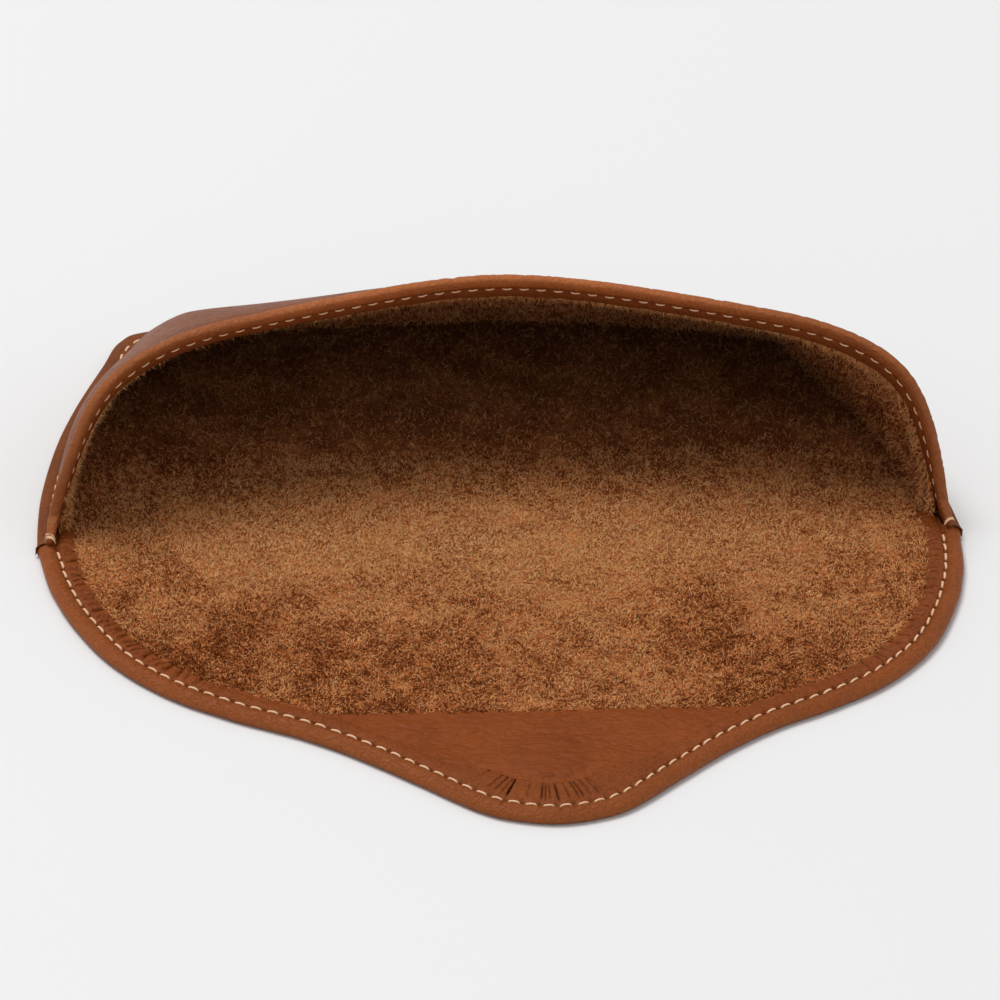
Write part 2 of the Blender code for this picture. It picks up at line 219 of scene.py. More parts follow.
def noise(points, size, seed=0):
    """Smooth random numbers from -1 to 1, with humps of about the given size."""
    table = np.random.default_rng(seed).uniform(-1, 1, (NOISE_CELLS,) * 3)
    at = np.asarray(points, float) / size + seed * 0.37
    cell = np.floor(at).astype(int)
    part = at - cell
    part = part * part * (3 - 2 * part)
    total = np.zeros(at.shape[:-1])
    for corner in itertools.product((0, 1), repeat=3):
        share = np.prod(np.where(corner, part, 1 - part), axis=-1)
        x, y, z = np.moveaxis((cell + corner) % NOISE_CELLS, -1, 0)
        total += share * table[x, y, z]
    return total


def rough(points, *layers):
    """Sum of noises, each given by its height, size and seed."""
    return sum(height * noise(points, size, seed) for height, size, seed in layers)


def slope(points, size, seed):
    """Direction in which the noise rises."""
    step = size * 0.2
    parts = []
    for axis in np.eye(3) * step:
        parts.append(noise(points + axis, size, seed) - noise(points - axis, size, seed))
    return np.stack(parts, axis=-1)


def half_curve(points, count):
    """Points spread evenly along the smooth curve through the given ones, which end on x = 0."""
    given = np.array(points, float)
    mirrored = given[-2].copy()
    mirrored[0] *= -1
    knots = np.vstack([2 * given[0] - given[1], given, mirrored])
    t = np.linspace(0, 1, CURVE_STEPS, endpoint=False)[:, None]
    spans = []
    for a, b, c, d in zip(knots, knots[1:], knots[2:], knots[3:]):
        bend = (2 * a - 5 * b + 4 * c - d) * t**2 + (3 * b - a - 3 * c + d) * t**3
        spans.append(0.5 * (2 * b + (c - a) * t + bend))
    dense = np.vstack(spans + [given[-1:]])
    steps = np.linalg.norm(np.diff(dense, axis=0), axis=1)
    run = np.concatenate([[0], np.cumsum(steps)])
    at = np.linspace(0, run[-1], count)
    return np.column_stack([np.interp(at, run, column) for column in dense.T])


def whole(half):
    """A half curve or half grid with its mirror image, from right to left."""
    other = half[-2::-1].copy()
    other[..., 0] *= -1
    return np.concatenate([half, other])


def run_length(path):
    """Distance of each point along the path, measured from its middle."""
    steps = np.linalg.norm(np.diff(path, axis=0), axis=1)
    run = np.concatenate([[0], np.cumsum(steps)])
    return run - run[-1] / 2


def level_row(line, height):
    """The points of a flat line, all at one height."""
    return np.column_stack([line, np.full(len(line), height)])


def sheet(ys, reaches, across):
    """A flat grid of points, in rows at the given y that reach this far to both sides."""
    grid = np.zeros((len(ys), len(across), 3))
    grid[..., 0] = reaches[:, None] * across
    grid[..., 1] = ys[:, None]
    return grid


def softened(path, passes):
    """The path with its corners rounded and its ends kept."""
    path = path.copy()
    for _ in range(passes):
        path[1:-1] = (path[:-2] + 2 * path[1:-1] + path[2:]) / 4
    return path


class Edge:
    """The edge of a flat panel, from right to left, with the way in from each point."""

    LEVEL_NEAR = 0.007  # within this length of the mouth, the way in turns level with it

    def __init__(self, outline, depth, spacing):
        sizes = (HALF_WIDTH, depth)
        rough = half_curve(np.array(outline) * sizes, 200)
        count = int(2 * run_length(rough)[-1] / spacing)
        self.at = whole(half_curve(np.array(outline) * sizes, count))
        self.run = run_length(self.at)
        along = unit(np.gradient(self.at, axis=0))
        inward = np.sign(depth) * np.column_stack([-along[:, 1], along[:, 0]])
        level = np.column_stack([-np.sign(self.at[:, 0] + 1e-9), np.zeros(len(self.at))])
        near = smooth((self.run[-1] - np.abs(self.run)) / self.LEVEL_NEAR)[:, None]
        self.inward = unit(level + (inward - level) * near)
        self.along = along

    def inside(self, distance):
        """The points that lie this far in from the edge."""
        distance = np.asarray(distance, float)
        return self.at + self.inward * (distance[..., None] if distance.ndim else distance)

    def reach(self, distance, y):
        """Half width at the given y of the area that lies this far inside the edge."""
        middle = len(self.at) // 2
        line = self.inside(distance)[: middle + 1]
        order = np.argsort(line[:, 1])
        return np.interp(y, line[order, 1], np.maximum(line[order, 0], 0))


flap = Edge(FLAP_OUTLINE, -FLAP_LENGTH, 0.00022)
pouch = Edge(POUCH_OUTLINE, POUCH_DEPTH, 0.0005)
stitch_run = run_length(flap.inside(STITCH_INSET))

# ---------------------------------------------------------------- meshes


def mesh_object(name, points, faces, material, values=None):
    """A smooth mesh of the used points, with the numbers for each point that its material reads."""
    used, index = np.unique(faces, return_inverse=True)
    mesh = bpy.data.meshes.new(name)
    mesh.from_pydata(np.asarray(points)[used], [], index.reshape(faces.shape))
    mesh.polygons.foreach_set("use_smooth", [True] * len(mesh.polygons))
    mesh.materials.append(material)
    mesh.update()
    made = bpy.data.objects.new(name, mesh)
    bpy.context.scene.collection.objects.link(made)
    for key, numbers in (values or {}).items():
        layer = mesh.attributes.new(key, "FLOAT", "POINT")
        layer.data.foreach_set("value", np.asarray(numbers[used], np.float32))
    return made


def grid_faces(rows, columns, first=0):
    """Corner numbers of the faces of a grid of points."""
    numbers = first + np.arange(rows * columns).reshape(rows, columns)
    corners = [numbers[:-1, :-1], numbers[1:, :-1], numbers[1:, 1:], numbers[:-1, 1:]]
    return np.stack([corner.ravel() for corner in corners], axis=1)


def ride_length(made):
    """Bake a piece of the flap's placement into its mesh."""
    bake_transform(made)


def flap_pieces(name, points, faces, material, values=None, per=1):
    """Cut a mesh of the flap into its three lengths, between groups of faces. Returns them by length."""
    centre = points[faces].mean(axis=1)[:, 1]
    centre = np.repeat(centre.reshape(-1, per).mean(axis=1), per)
    parts = {
        "spine": centre > FIRST_CUT,
        "bridge": (centre <= FIRST_CUT) & (centre > SECOND_CUT),
        "tip": centre <= SECOND_CUT,
    }
    made = {}
    for length, chosen in parts.items():
        if not chosen.any():
            continue
        made[length] = mesh_object(f"{name}_{length}", points, faces[chosen], material, values)
        ride_length(made[length])
    return made


def pouch_piece(name, points, faces, material, values=None):
    made = mesh_object(name, points, faces, material, values)
    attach(made, "pouch")
    return made


def add_materials(made, materials, kinds):
    """Give a mesh more materials, with the number of the right one for each face."""
    for material in materials:
        made.data.materials.append(material)
    made.data.polygons.foreach_set("material_index", kinds.astype(np.int32))


# ---------------------------------------------------------------- materials


class Shader:
    """A node material, written one node at a time."""

    def __init__(self, name):
        self.material = bpy.data.materials.new(name)
        self.material.use_nodes = True
        self.tree = self.material.node_tree
        self.base = self.tree.nodes["Principled BSDF"]
        self.place = self.node("ShaderNodeTexCoord").outputs["Object"]

    def node(self, kind, settings=None, **inputs):
        made = self.tree.nodes.new(kind)
        for key, value in (settings or {}).items():
            setattr(made, key, value)
        for key, value in inputs.items():
            self.put(made, key.replace("_", " "), value)
        return made

    def put(self, node, key, value):
        socket = node.inputs[int(key[1:]) if key[0] == "i" and key[1:].isdigit() else key]
        if isinstance(value, bpy.types.NodeSocket):
            self.tree.links.new(value, socket)
        else:
            socket.default_value = value

    def noise(self, size, detail=3.0, rough=0.6, place=None):
        made = self.node("ShaderNodeTexNoise", Scale=1 / size, Detail=detail, Roughness=rough)
        self.put(made, "Vector", place or self.place)
        return made.outputs["Fac"]

    def stretched(self, scale, drift=0.0, drift_size=0.004):
        """The place, squeezed by the given scale and pushed about by a noise."""
        place = self.place
        if drift:
            shift = self.node("ShaderNodeTexNoise", Scale=1 / drift_size, Detail=2.0)
            self.put(shift, "Vector", place)
            push = self.node(
                "ShaderNodeVectorMath", {"operation": "MULTIPLY_ADD"}, i1=(drift,) * 3, i2=place
            )
            self.put(push, "i0", shift.outputs["Color"])
            place = push.outputs["Vector"]
        made = self.node("ShaderNodeMapping", Scale=scale)
        self.put(made, "Vector", place)
        return made.outputs["Vector"]

    def cells(self, size, place=None, feature="DISTANCE_TO_EDGE"):
        made = self.node("ShaderNodeTexVoronoi", {"feature": feature}, Scale=1 / size)
        self.put(made, "Vector", place or self.place)
        return made.outputs["Distance"]

    def math(self, operation, first, second=0.0, third=0.0):
        return self.node(
            "ShaderNodeMath", {"operation": operation}, i0=first, i1=second, i2=third
        ).outputs[0]

    def spread(self, value, low, high, to_low=0.0, to_high=1.0):
        """The value, stretched from one range to another and kept inside it."""
        return self.node(
            "ShaderNodeMapRange", i0=value, i1=low, i2=high, i3=to_low, i4=to_high
        ).outputs[0]

    def mix(self, share, first, second, how="MIX"):
        made = self.node("ShaderNodeMix", {"data_type": "RGBA", "blend_type": how})
        self.put(made, "i0", share)
        self.put(made, "i6", first)
        self.put(made, "i7", second)
        return made.outputs[2]

    def value(self, name):
        made = self.node("ShaderNodeAttribute", {"attribute_name": name})
        return made.outputs["Fac"]

    def bump(self, height, distance, strength=1.0, below=None):
        made = self.node("ShaderNodeBump", Height=height, Distance=distance, Strength=strength)
        if below:
            self.put(made, "Normal", below)
        return made.outputs["Normal"]

    def finish(self, **inputs):
        for key, value in inputs.items():
            self.put(self.base, key.replace("_", " "), value)
        return self.material


def colour(red, green, blue):
    return (red, green, blue, 1.0)


LEATHER_SHADE = colour(0.020, 0.006, 0.002)
SUEDE_SHADE = colour(0.020, 0.009, 0.004)


def leather_material(name, tones, cell, stretch=(1, 1, 1), wrinkles=0.6, rough=0.5, relief=0.00012):
    """Full-grain leather: soft pebbles and stretched wrinkles, pores, paler rubbed edges and painted
    highlights, and painted shade in the creases of the wrinkles and where its shade value asks for it.
    """
    s = Shader(name)
    dark, mid, light = (colour(*tone) for tone in tones)
    place = s.stretched(stretch, drift=0.0010, drift_size=0.0035)
    lines = s.noise(cell, 2.0, 0.55, place)
    ridges = s.spread(s.math("ABSOLUTE", s.math("SUBTRACT", lines, 0.5)), 0.0, 0.11)
    pebbles = s.spread(s.cells(cell * 0.62, place, "SMOOTH_F1"), 0.0, 0.75, 1.0, 0.0)
    pores = s.noise(0.00022, 2.0, 0.7)
    height = s.math("ADD", s.math("MULTIPLY", ridges, wrinkles), s.math("MULTIPLY", pebbles, 0.45))
    height = s.math("MULTIPLY_ADD", pores, 0.16, height)
    clouds = s.spread(s.noise(0.013, 3.0), 0.3, 0.7)
    tone = s.mix(clouds, dark, mid)
    fine = s.spread(s.noise(0.0011, 4.0, 0.7), 0.3, 0.75)
    tone = s.mix(s.math("MULTIPLY", fine, 0.30), tone, light)
    # paler where rubbed, and painted highlights
    tone = s.mix(s.math("MULTIPLY", s.value("worn"), 0.75), tone, light)
    # painted shade along the creases of the wrinkles
    crease_shade = s.math("MULTIPLY", s.math("SUBTRACT", 1.0, ridges), 0.18 * wrinkles)
    tone = s.mix(crease_shade, tone, dark)
    tone = s.mix(s.value("shade"), tone, LEATHER_SHADE)
    shine = s.spread(s.noise(0.0016, 3.0), 0.3, 0.7, rough - 0.06, rough + 0.09)
    return s.finish(
        Base_Color=tone,
        Roughness=shine,
        Normal=s.bump(height, relief, 0.7),
        Specular_IOR_Level=0.16,
    )


def suede_material(name, tones, sheen):
    """Brushed flesh side: painted shade dark between the tufts, painted highlights golden on their tips, in
    drifting blotches.
    """
    s = Shader(name)
    dark, mid, light = (colour(*tone) for tone in tones)
    blotch = s.noise(0.0085, 3.0, 0.62)
    clump = s.noise(0.0016, 4.0, 0.7)
    both = s.math("MULTIPLY_ADD", clump, 0.55, s.math("MULTIPLY", blotch, 0.75))
    both = s.math("ADD", both, s.math("MULTIPLY", s.value("tone"), 0.55))
    low = s.mix(s.spread(both, 0.42, 0.70), dark, mid)
    tone = s.mix(s.spread(both, 0.66, 1.0), low, light)
    tone = s.mix(s.value("shade"), tone, SUEDE_SHADE)
    grain = s.noise(0.00035, 3.0, 0.75)
    return s.finish(
        Base_Color=tone,
        Roughness=0.95,
        Normal=s.bump(grain, 0.00025, 0.9),
        Specular_IOR_Level=0.08,
        Sheen_Weight=sheen,
        Sheen_Roughness=0.5,
        Sheen_Tint=light,
    )


def thread_material(name):
    """Waxed cream thread, with painted shade where its plies touch and at its ends, where they go into their
    holes.
    """
    s = Shader(name)
    fluff = s.noise(0.00018, 3.0, 0.7)
    patches = s.noise(0.004, 2.0)
    tone = s.mix(s.spread(patches, 0.3, 0.7), colour(0.88, 0.49, 0.26), colour(0.97, 0.64, 0.38))
    tone = s.mix(s.spread(fluff, 0.35, 0.7, 0.0, 0.30), tone, colour(0.97, 0.76, 0.54))
    # painted shade between the plies and at the stitch's ends
    tone = s.mix(s.math("MULTIPLY", s.value("groove"), 0.6), tone, colour(0.46, 0.24, 0.11))
    return s.finish(
        Base_Color=tone,
        Roughness=s.spread(fluff, 0.3, 0.7, 0.5, 0.75),
        Normal=s.bump(fluff, 0.00005, 0.6),
        Sheen_Weight=0.15,
    )


def metal_material(name):
    """Nickel-plated magnet with faint brushed rings and small scuffs."""
    s = Shader(name)
    brushed = s.noise(0.0006, 4.0, 0.7, s.stretched((1, 8, 1)))
    scuffs = s.spread(s.cells(0.0011), 0.0, 0.04)
    tone = s.mix(brushed, colour(0.42, 0.42, 0.44), colour(0.66, 0.66, 0.68))
    tone = s.mix(s.math("SUBTRACT", 1.0, scuffs), tone, colour(0.30, 0.30, 0.31))
    return s.finish(
        Base_Color=tone,
        Metallic=1.0,
        Roughness=s.spread(brushed, 0.3, 0.7, 0.22, 0.42),
        Normal=s.bump(brushed, 0.00003, 0.5),
    )


# Colours from dark to light, then the size of the pebbles
HEM_LEATHER = leather_material(
    "hem_leather",
    ((0.180, 0.038, 0.005), (0.240, 0.055, 0.009), (0.400, 0.120, 0.030)),
    0.0016, stretch=(1, 1.2, 1), wrinkles=0.75, relief=0.00028,
)
FACING_LEATHER = leather_material(
    "facing_leather",
    ((0.190, 0.039, 0.005), (0.255, 0.056, 0.008), (0.360, 0.095, 0.019)),
    0.0029, stretch=(0.60, 1, 1), wrinkles=0.65, rough=0.52, relief=0.00046,
)
SHELL_LEATHER = leather_material(
    "shell_leather",
    ((0.150, 0.040, 0.011), (0.215, 0.060, 0.017), (0.340, 0.110, 0.036)),
    0.0019,
)
ROLL_LEATHER = leather_material(
    "roll_leather",
    ((0.260, 0.064, 0.014), (0.370, 0.098, 0.024), (0.560, 0.185, 0.056)),
    0.0015, wrinkles=0.85, rough=0.42, relief=0.00020,
)
SUEDE = suede_material(
    "suede", ((0.230, 0.060, 0.015), (0.560, 0.190, 0.060), (0.820, 0.360, 0.140)), sheen=0.25
)
NAP = suede_material(
    "suede_nap", ((0.210, 0.047, 0.010), (0.980, 0.322, 0.092), (1.000, 0.550, 0.225)), sheen=0.06
)
THREAD = thread_material("cream_thread")
METAL = metal_material("magnet_metal")

# ---------------------------------------------------------------- flap leather

# Slits in the pleated hem round the tip: place along the edge from the tip, width, depth
TIP_SLITS = (
    (-0.0204, 0.00020, 0.00030),
    (-0.0169, 0.00022, 0.00045),
    (-0.0151, 0.00022, 0.00055),
    (-0.0133, 0.00022, 0.00050),
    (-0.0115, 0.00038, 0.00100),
    (-0.0069, 0.00020, 0.00035),
    (-0.0036, 0.00024, 0.00075),
    (-0.0027, 0.00020, 0.00062),
    (-0.0016, 0.00020, 0.00055),
    (0.0006, 0.00030, 0.00100),
    (0.0035, 0.00022, 0.00060),
    (0.0056, 0.00024, 0.00070),
    (0.0067, 0.00022, 0.00080),
    (0.0085, 0.00024, 0.00055),
    (0.0103, 0.00024, 0.00060),
    (0.0117, 0.00020, 0.00035),
)
TIP_PLEATS = 0.0215  # the side's gathers start this far along the edge from the tip
TIP_HEM_END = 0.030  # from this far along, the hem has its plain width
TIP_HEM_BLEND = 0.011

# Gathers along the sides of the flap; they are slight beside the tip and deepen towards the mouth
SLIGHT = 0.22
DEEPEN_FROM = 0.062
DEEPEN_OVER = 0.028
GATHER_DEPTH = (0.00038, 0.00074)
GATHER_WIDTH = (0.00024, 0.00042)
GATHER_LEAN = (-0.35, 0.35)
GATHER_SPACING = (0.0011, 0.0021)
GATHERS_END = 0.0005
GATHERS_OPEN = (0.0037, 0.0013)  # where across the hem they open: from, over what length
DIPS_DARKEN = (0.00018, 0.0006)
CREASE_REACH = 0.0030  # a gather changes nothing beyond this

# Ridges and grooves across the hem: height, distance from the edge, width
HEM_LIP = (0.00026, 0.0019, 0.0009)
HEM_BED = (0.00018, 0.0053, 0.0013)
HEM_GROOVE = (-0.00042, STITCH_INSET, 0.00045)
UNDER_GROOVE = (0.00040, STITCH_INSET, 0.00050)
HOLE_R = 0.00034
HOLE_DEPTH = 0.00050
HOLE_SHADE = 0.55
LIP_OPENING = (0.42, 0.0021, 0.0010)  # gathers are seen a little on the lip too
SLIT_SHADE = 0.80
GATHER_SHADE = 0.42
DARKEST = 0.95

# Roughness of the hem: height, size and seed of each noise
HEM_PUCKER = (0.00012, 0.0021, 3)
HEM_GRAIN = (0.00004, 0.0009, 4)
HEM_FRAY = (0.00045, 0.0015, 5)
FOLD_WAVE = (0.00006, 0.0040, 6)

PUCKER_FROM = (0.0040, 0.002)
FRAY_FROM = (0.0045, 0.0025)
THIN_FROM = (0.0052, 0.0020)  # the hem is pared thinner towards its raw edge
THIN_SINK = 0.00010
RAW_EDGE = 0.0004
RAW_WEAR = 0.45
LIP_WEAR = (0.30, 0.0015, 0.0012)
FOLD_WEAR = (0.36, 0.2, 0.6)

# Spacing of the rows of points across the flap's hide
MIDDLE_ROWS = 10
UNDER_STEP = 0.00034
TOP_STEP = 0.00023
FOLD_TURN = 78  # degrees each way that the fold at the edge is drawn
FOLD_ROWS = 9
ROW_GAP = 0.0001
CUT_EDGE_ROWS = ((0.00006, -0.0002), (0.00008, -0.0006), (0.00050, -0.0011))  # further in, and height
MAGNET_COVER = 0.00012
MAGNET_MARGIN = 0.0004
FACING_BLEND = 0.002
FACING_OVERLAP = 0.00012


def hem_widths(run):
    """The hem is wider where it is pleated round the tip."""
    return HEM_WIDTH + (TIP_HEM_WIDTH - HEM_WIDTH) * smooth((TIP_HEM_END - np.abs(run)) / TIP_HEM_BLEND)


def hem_creases():
    """Place, width, depth and lean of every gather across the hem."""
    rng = np.random.default_rng(11)
    end = flap.run[-1]
    found = [(-at, width, depth, 0.0) for at, width, depth in TIP_SLITS]
    for side in (-1, 1):
        at = TIP_PLEATS
        while at < end - GATHERS_END:
            strength = SLIGHT + (1 - SLIGHT) * smooth((at - DEEPEN_FROM) / DEEPEN_OVER)
            depth = strength * rng.uniform(*GATHER_DEPTH)
            found.append((side * at, rng.uniform(*GATHER_WIDTH), depth, rng.uniform(*GATHER_LEAN)))
            at += rng.uniform(*GATHER_SPACING) / (0.45 + 0.55 * strength)
    return np.array(found)


def hem_level(depth):
    """Ridges of a hem and the groove of its stitches, by distance from its edge."""
    return ridge(depth, HEM_LIP) + ridge(depth, HEM_BED) + ridge(depth, HEM_GROOVE)


def hem_shape(run, depth, points):
    """Height of the hem above its flat level, and the painted shade in its slits, gathers and stitch holes.
    """
    phase = (np.interp(run, flap.run, stitch_run) / STITCH_PITCH + 0.5) % 1 - 0.5
    hole = hump(phase * STITCH_PITCH, 0, HOLE_R) * hump(depth, STITCH_INSET, HOLE_R)
    height = hem_level(depth) - HOLE_DEPTH * hole
    shade = HOLE_SHADE * hole
    opening = rising(depth, *GATHERS_OPEN) + ridge(depth, LIP_OPENING)
    for at, width, deep, lean in hem_creases():
        near = np.abs(run - at) < CREASE_REACH
        offset = run[near] - at - lean * (depth[near] - STITCH_INSET)
        dip = deep * hump(offset, 0, width * (0.55 + 0.45 * opening[near])) * opening[near]
        height[near] -= dip
        dark = SLIT_SHADE if abs(at) < TIP_PLEATS else GATHER_SHADE
        shade[near] += dark * rising(dip, *DIPS_DARKEN)
    height += rough(points, HEM_PUCKER) * rising(depth, *PUCKER_FROM)
    height += rough(points, HEM_GRAIN)
    return height, np.clip(shade, 0, DARKEST)


def above_magnet(points):
    """Lowest height at which the flap's leather hides the magnet in its tip."""
    away = np.hypot(points[..., 0], points[..., 1] - MAGNET_Y)
    return np.where(away < MAGNET_R + MAGNET_MARGIN, MAGNET_HIGH.z + MAGNET_COVER, 0)


def build_flap_leather():
    """One hide for the outside of the flap and its turned hem."""
    rows = []
    shades = []
    worn = []
    plain = np.zeros(len(flap.run))

    def add(row, shade=0.0, wear=0.0):
        rows.append(row)
        shades.append(plain + shade)
        worn.append(plain + wear)

    in_facing = smooth((FACING_Y - flap.inside(HEM_WIDTH)[:, 1]) / FACING_BLEND)
    fray = rough(level_row(flap.at, 0.0), HEM_FRAY) * (1 - in_facing)
    wave = rough(level_row(flap.at, 0.0), FOLD_WAVE)
    stretch = (hem_widths(flap.run) - STITCH_INSET) / (HEM_WIDTH - STITCH_INSET)
    for share in np.linspace(0, 1, MIDDLE_ROWS)[:-1]:
        add(level_row(flap.inside(HEM_INSIDE) * (share, 1), UNDER_LEVEL))
    for depth in np.arange(HEM_WIDTH, FOLD_R + ROW_GAP, -UNDER_STEP):
        add(level_row(flap.inside(depth), ridge(depth, UNDER_GROOVE) + UNDER_GAP))
    for turn in np.radians(np.linspace(-FOLD_TURN, FOLD_TURN, FOLD_ROWS)):
        depth = FOLD_R * (1 - math.cos(turn))
        row = level_row(flap.inside(depth + wave), FOLD_R * (1 + math.sin(turn)))
        add(row, wear=0.22 + ridge(turn, FOLD_WEAR))
    for depth in np.arange(FOLD_R + ROW_GAP, HEM_WIDTH, TOP_STEP):
        reach = STITCH_INSET + (depth - STITCH_INSET) * (stretch if depth > STITCH_INSET else 1)
        reach = reach + fray * rising(depth, *FRAY_FROM)
        flat = level_row(flap.inside(reach), HEM_TOP)
        height, shade = hem_shape(flap.run, plain + depth, flat)
        sunk = THIN_SINK + (HEM_TOP - FACING_LEVEL - FACING_OVERLAP) * in_facing
        flat[:, 2] += height - rising(depth, *THIN_FROM) * sunk
        flat[:, 2] = np.maximum(flat[:, 2], above_magnet(flat))
        raw = RAW_WEAR * (1 - in_facing) * (depth > HEM_WIDTH - RAW_EDGE)
        add(flat, shade, ridge(depth, LIP_WEAR) + raw)
    for reach, level in CUT_EDGE_ROWS:
        row = rows[-1].copy()
        row[:, :2] += flap.inward * reach
        row[:, 2] = HEM_TOP + level
        # the cut edge: painted shade, and paler where rubbed
        add(row, 0.15, 0.2)
    grid = np.stack(rows, axis=1)
    grid[..., 1] = np.minimum(grid[..., 1], 0)
    values = {"shade": np.stack(shades, axis=1).ravel(), "worn": np.stack(worn, axis=1).ravel()}
    faces = grid_faces(len(flap.run), len(rows))
    made = flap_pieces("flap_leather", grid.reshape(-1, 3), faces, HEM_LEATHER, values)
    for length, piece in made.items():
        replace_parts(piece, f"{length}_leather")


# ---------------------------------------------------------------- facing

FACING_COLUMNS = 301
FACING_STEP = 0.00034
FACING_GAP = 0.0003  # between the facing and the hem's full width
RING_R = MAGNET_R - 0.0004
DOME_RISE = 0.00042
FACING_WAVE = (0.00022, 0.009, 8)
FACING_WRINKLE = (1.0, 0.0017, 9)
FACING_FINE_WRINKLE = (0.6, 0.0009, 12)
FACING_SWELL = (0.00012, 0.006, 10)
WRINKLE_HEIGHT = 0.00008
WRINKLE_MARGIN = 0.0001
DOME_SLOPE = 0.0034
FACING_LIP = 0.00012  # the facing's front edge stands this far past the suede's end
FACING_UNDER = 0.0016
FACING_ROUND = 0.0003
# painted highlight: height, middle and width of a lit crescent on the rim of the magnet's dome
RING_HIGHLIGHT = (0.28, RING_R, 0.0010)
DISC_SHADE = 0.06
DISC_SOFT = 0.0016


def build_facing():
    """Smooth leather sewn inside the tip, with the round magnet showing through it."""
    last = -FLAP_LENGTH + TIP_HEM_WIDTH - FACING_GAP
    ys = np.concatenate([[FACING_Y + FACING_LIP] * 2, np.arange(FACING_Y, last, -FACING_STEP)])
    across = np.linspace(-1, 1, FACING_COLUMNS)
    reach = flap.reach(hem_widths(flap.run) - FACING_GAP, ys)
    grid = sheet(ys, reach, across)
    grid[..., 2] = FACING_LEVEL
    grid[..., 1] += rough(grid, FACING_WAVE) * rising(grid[..., 1], FACING_Y - FACING_BLEND, FACING_BLEND)
    away = np.hypot(grid[..., 0], grid[..., 1] - MAGNET_Y)
    inside = rising(reach[:, None] * (1 - np.abs(across)), WRINKLE_MARGIN, FACING_BLEND)
    inside = inside * rising(grid[..., 1], TIP_HEM_WIDTH - FLAP_LENGTH, FACING_BLEND)
    grid[..., 2] += DOME_RISE * smooth((RING_R - away) / DOME_SLOPE)
    wrinkle = rough(grid * (0.32, 1.5, 1), FACING_WRINKLE) + rough(grid * (0.5, 1.5, 1), FACING_FINE_WRINKLE)
    grid[..., 2] += inside * (WRINKLE_HEIGHT * wrinkle + rough(grid * (0.4, 1, 1), FACING_SWELL))
    grid[..., 2] = np.maximum(grid[..., 2], above_magnet(grid))
    grid[0, :, 2] = FACING_UNDER
    grid[1, :, 2] = FACING_LEVEL - FACING_ROUND
    # painted highlight: a lit crescent on the tip's side of the magnet's ring; the facing's front edge is
    # rubbed paler
    worn = ridge(away, RING_HIGHLIGHT) * smooth((MAGNET_Y - grid[..., 1]) / MAGNET_R)
    worn[:3] = 0.5
    shade = DISC_SHADE * smooth((MAGNET_R - away) / DISC_SOFT)
    values = {"worn": worn.ravel(), "shade": shade.ravel()}
    faces = grid_faces(*grid.shape[:2])[:, ::-1]
    made = mesh_object("tip_facing_leather", grid.reshape(-1, 3), faces, FACING_LEATHER, values)
    ride_length(made)
    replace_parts(made, "bridge_facing", "tip_facing")


# ---------------------------------------------------------------- stitches


PLIES = 3
PLY_TWIST = 0.32
STITCH_FLATNESS = 0.85  # height of a stitch against its width
ENDS_CURVE = 3.2  # how late a stitch turns down into its holes


def dashes(places, alongs, ups, length, radius, sink):
    """Twisted stitches, from one hole to the next. Returns points, faces and the painted shade of each point,
    between the plies and at the stitch's ends.
    """
    rings = STITCH_RINGS
    sides = STITCH_SIDES
    t = np.linspace(-1, 1, rings)
    turn = np.arange(sides) / sides * math.tau
    across = np.cross(ups, alongs)
    arch = -sink * np.abs(t) ** ENDS_CURVE
    centre = (
        places[:, None]
        + alongs[:, None] * (t * length / 2)[:, None]
        + ups[:, None] * arch[:, None]
    )
    ply = np.abs(np.cos(PLIES / 2 * (turn[None] - t[:, None] * length / radius * PLY_TWIST)))
    size = radius * (0.80 + 0.20 * ply) * np.sqrt(np.clip(1.12 - np.abs(t[:, None]) ** 6, 0.05, 1))
    ring = (
        across[:, None, None] * (size * np.cos(turn))[..., None]
        + ups[:, None, None] * (size * np.sin(turn) * STITCH_FLATNESS)[..., None]
    )
    points = centre[:, :, None] + ring
    numbers = np.arange(rings * sides).reshape(rings, sides)
    after = np.roll(numbers, -1, axis=1)
    one = np.stack([numbers[:-1], after[:-1], after[1:], numbers[1:]], axis=-1).reshape(-1, 4)
    first = np.arange(len(places)) * rings * sides
    faces = (one[None] + first[:, None, None]).reshape(-1, 4)
    # painted shade where a stitch's ends go down into their holes
    end_shade = np.clip(np.abs(t) * 1.6 - 1.0, 0, 1)
    groove = np.broadcast_to(np.maximum(1 - ply, end_shade[:, None]), (len(places), rings, sides))
    return points.reshape(-1, 3), faces, groove.ravel()


def picked(at, run, table):
    """Rows of the table at the given distances along its run."""
    return np.column_stack([np.interp(at, run, column) for column in table.T])


def stitch_places(run, end):
    """Distances of the stitches along a line, even to both sides of its middle."""
    count = int(run[-1] / STITCH_PITCH)
    at = (np.arange(-count, count) + 0.5) * STITCH_PITCH
    return at[np.abs(at) < run[-1] - end]


def flap_seam(side_up):
    """Stitches round the flap, on its top or on its underside."""
    rng = np.random.default_rng(21 if side_up else 22)
    at = stitch_places(stitch_run, STITCH_END)
    level = TOP_STITCH_LEVEL if side_up else UNDER_STITCH_LEVEL
    places = level_row(picked(at, stitch_run, flap.inside(STITCH_INSET)), level)
    x, y = unit(picked(at, stitch_run, flap.along)).T
    lean = math.radians(4.5) + rng.normal(0, math.radians(2.2), len(at))
    places[:, :2] += rng.normal(0, STITCH_WANDER, (len(at), 2))
    alongs = np.column_stack([
        x * np.cos(lean) - y * np.sin(lean),
        x * np.sin(lean) + y * np.cos(lean),
        np.zeros(len(at)),
    ])
    ups = np.zeros((len(at), 3))
    ups[:, 2] = 1 if side_up else -1
    points, faces, groove = dashes(places, alongs, ups, STITCH_LENGTH, THREAD_R, FLAP_STITCH_SINK)
    name = "flap_stitches_top" if side_up else "flap_stitches_under"
    return flap_pieces(name, points, faces, THREAD, {"groove": groove}, STITCH_FACES)


# ---------------------------------------------------------------- suede


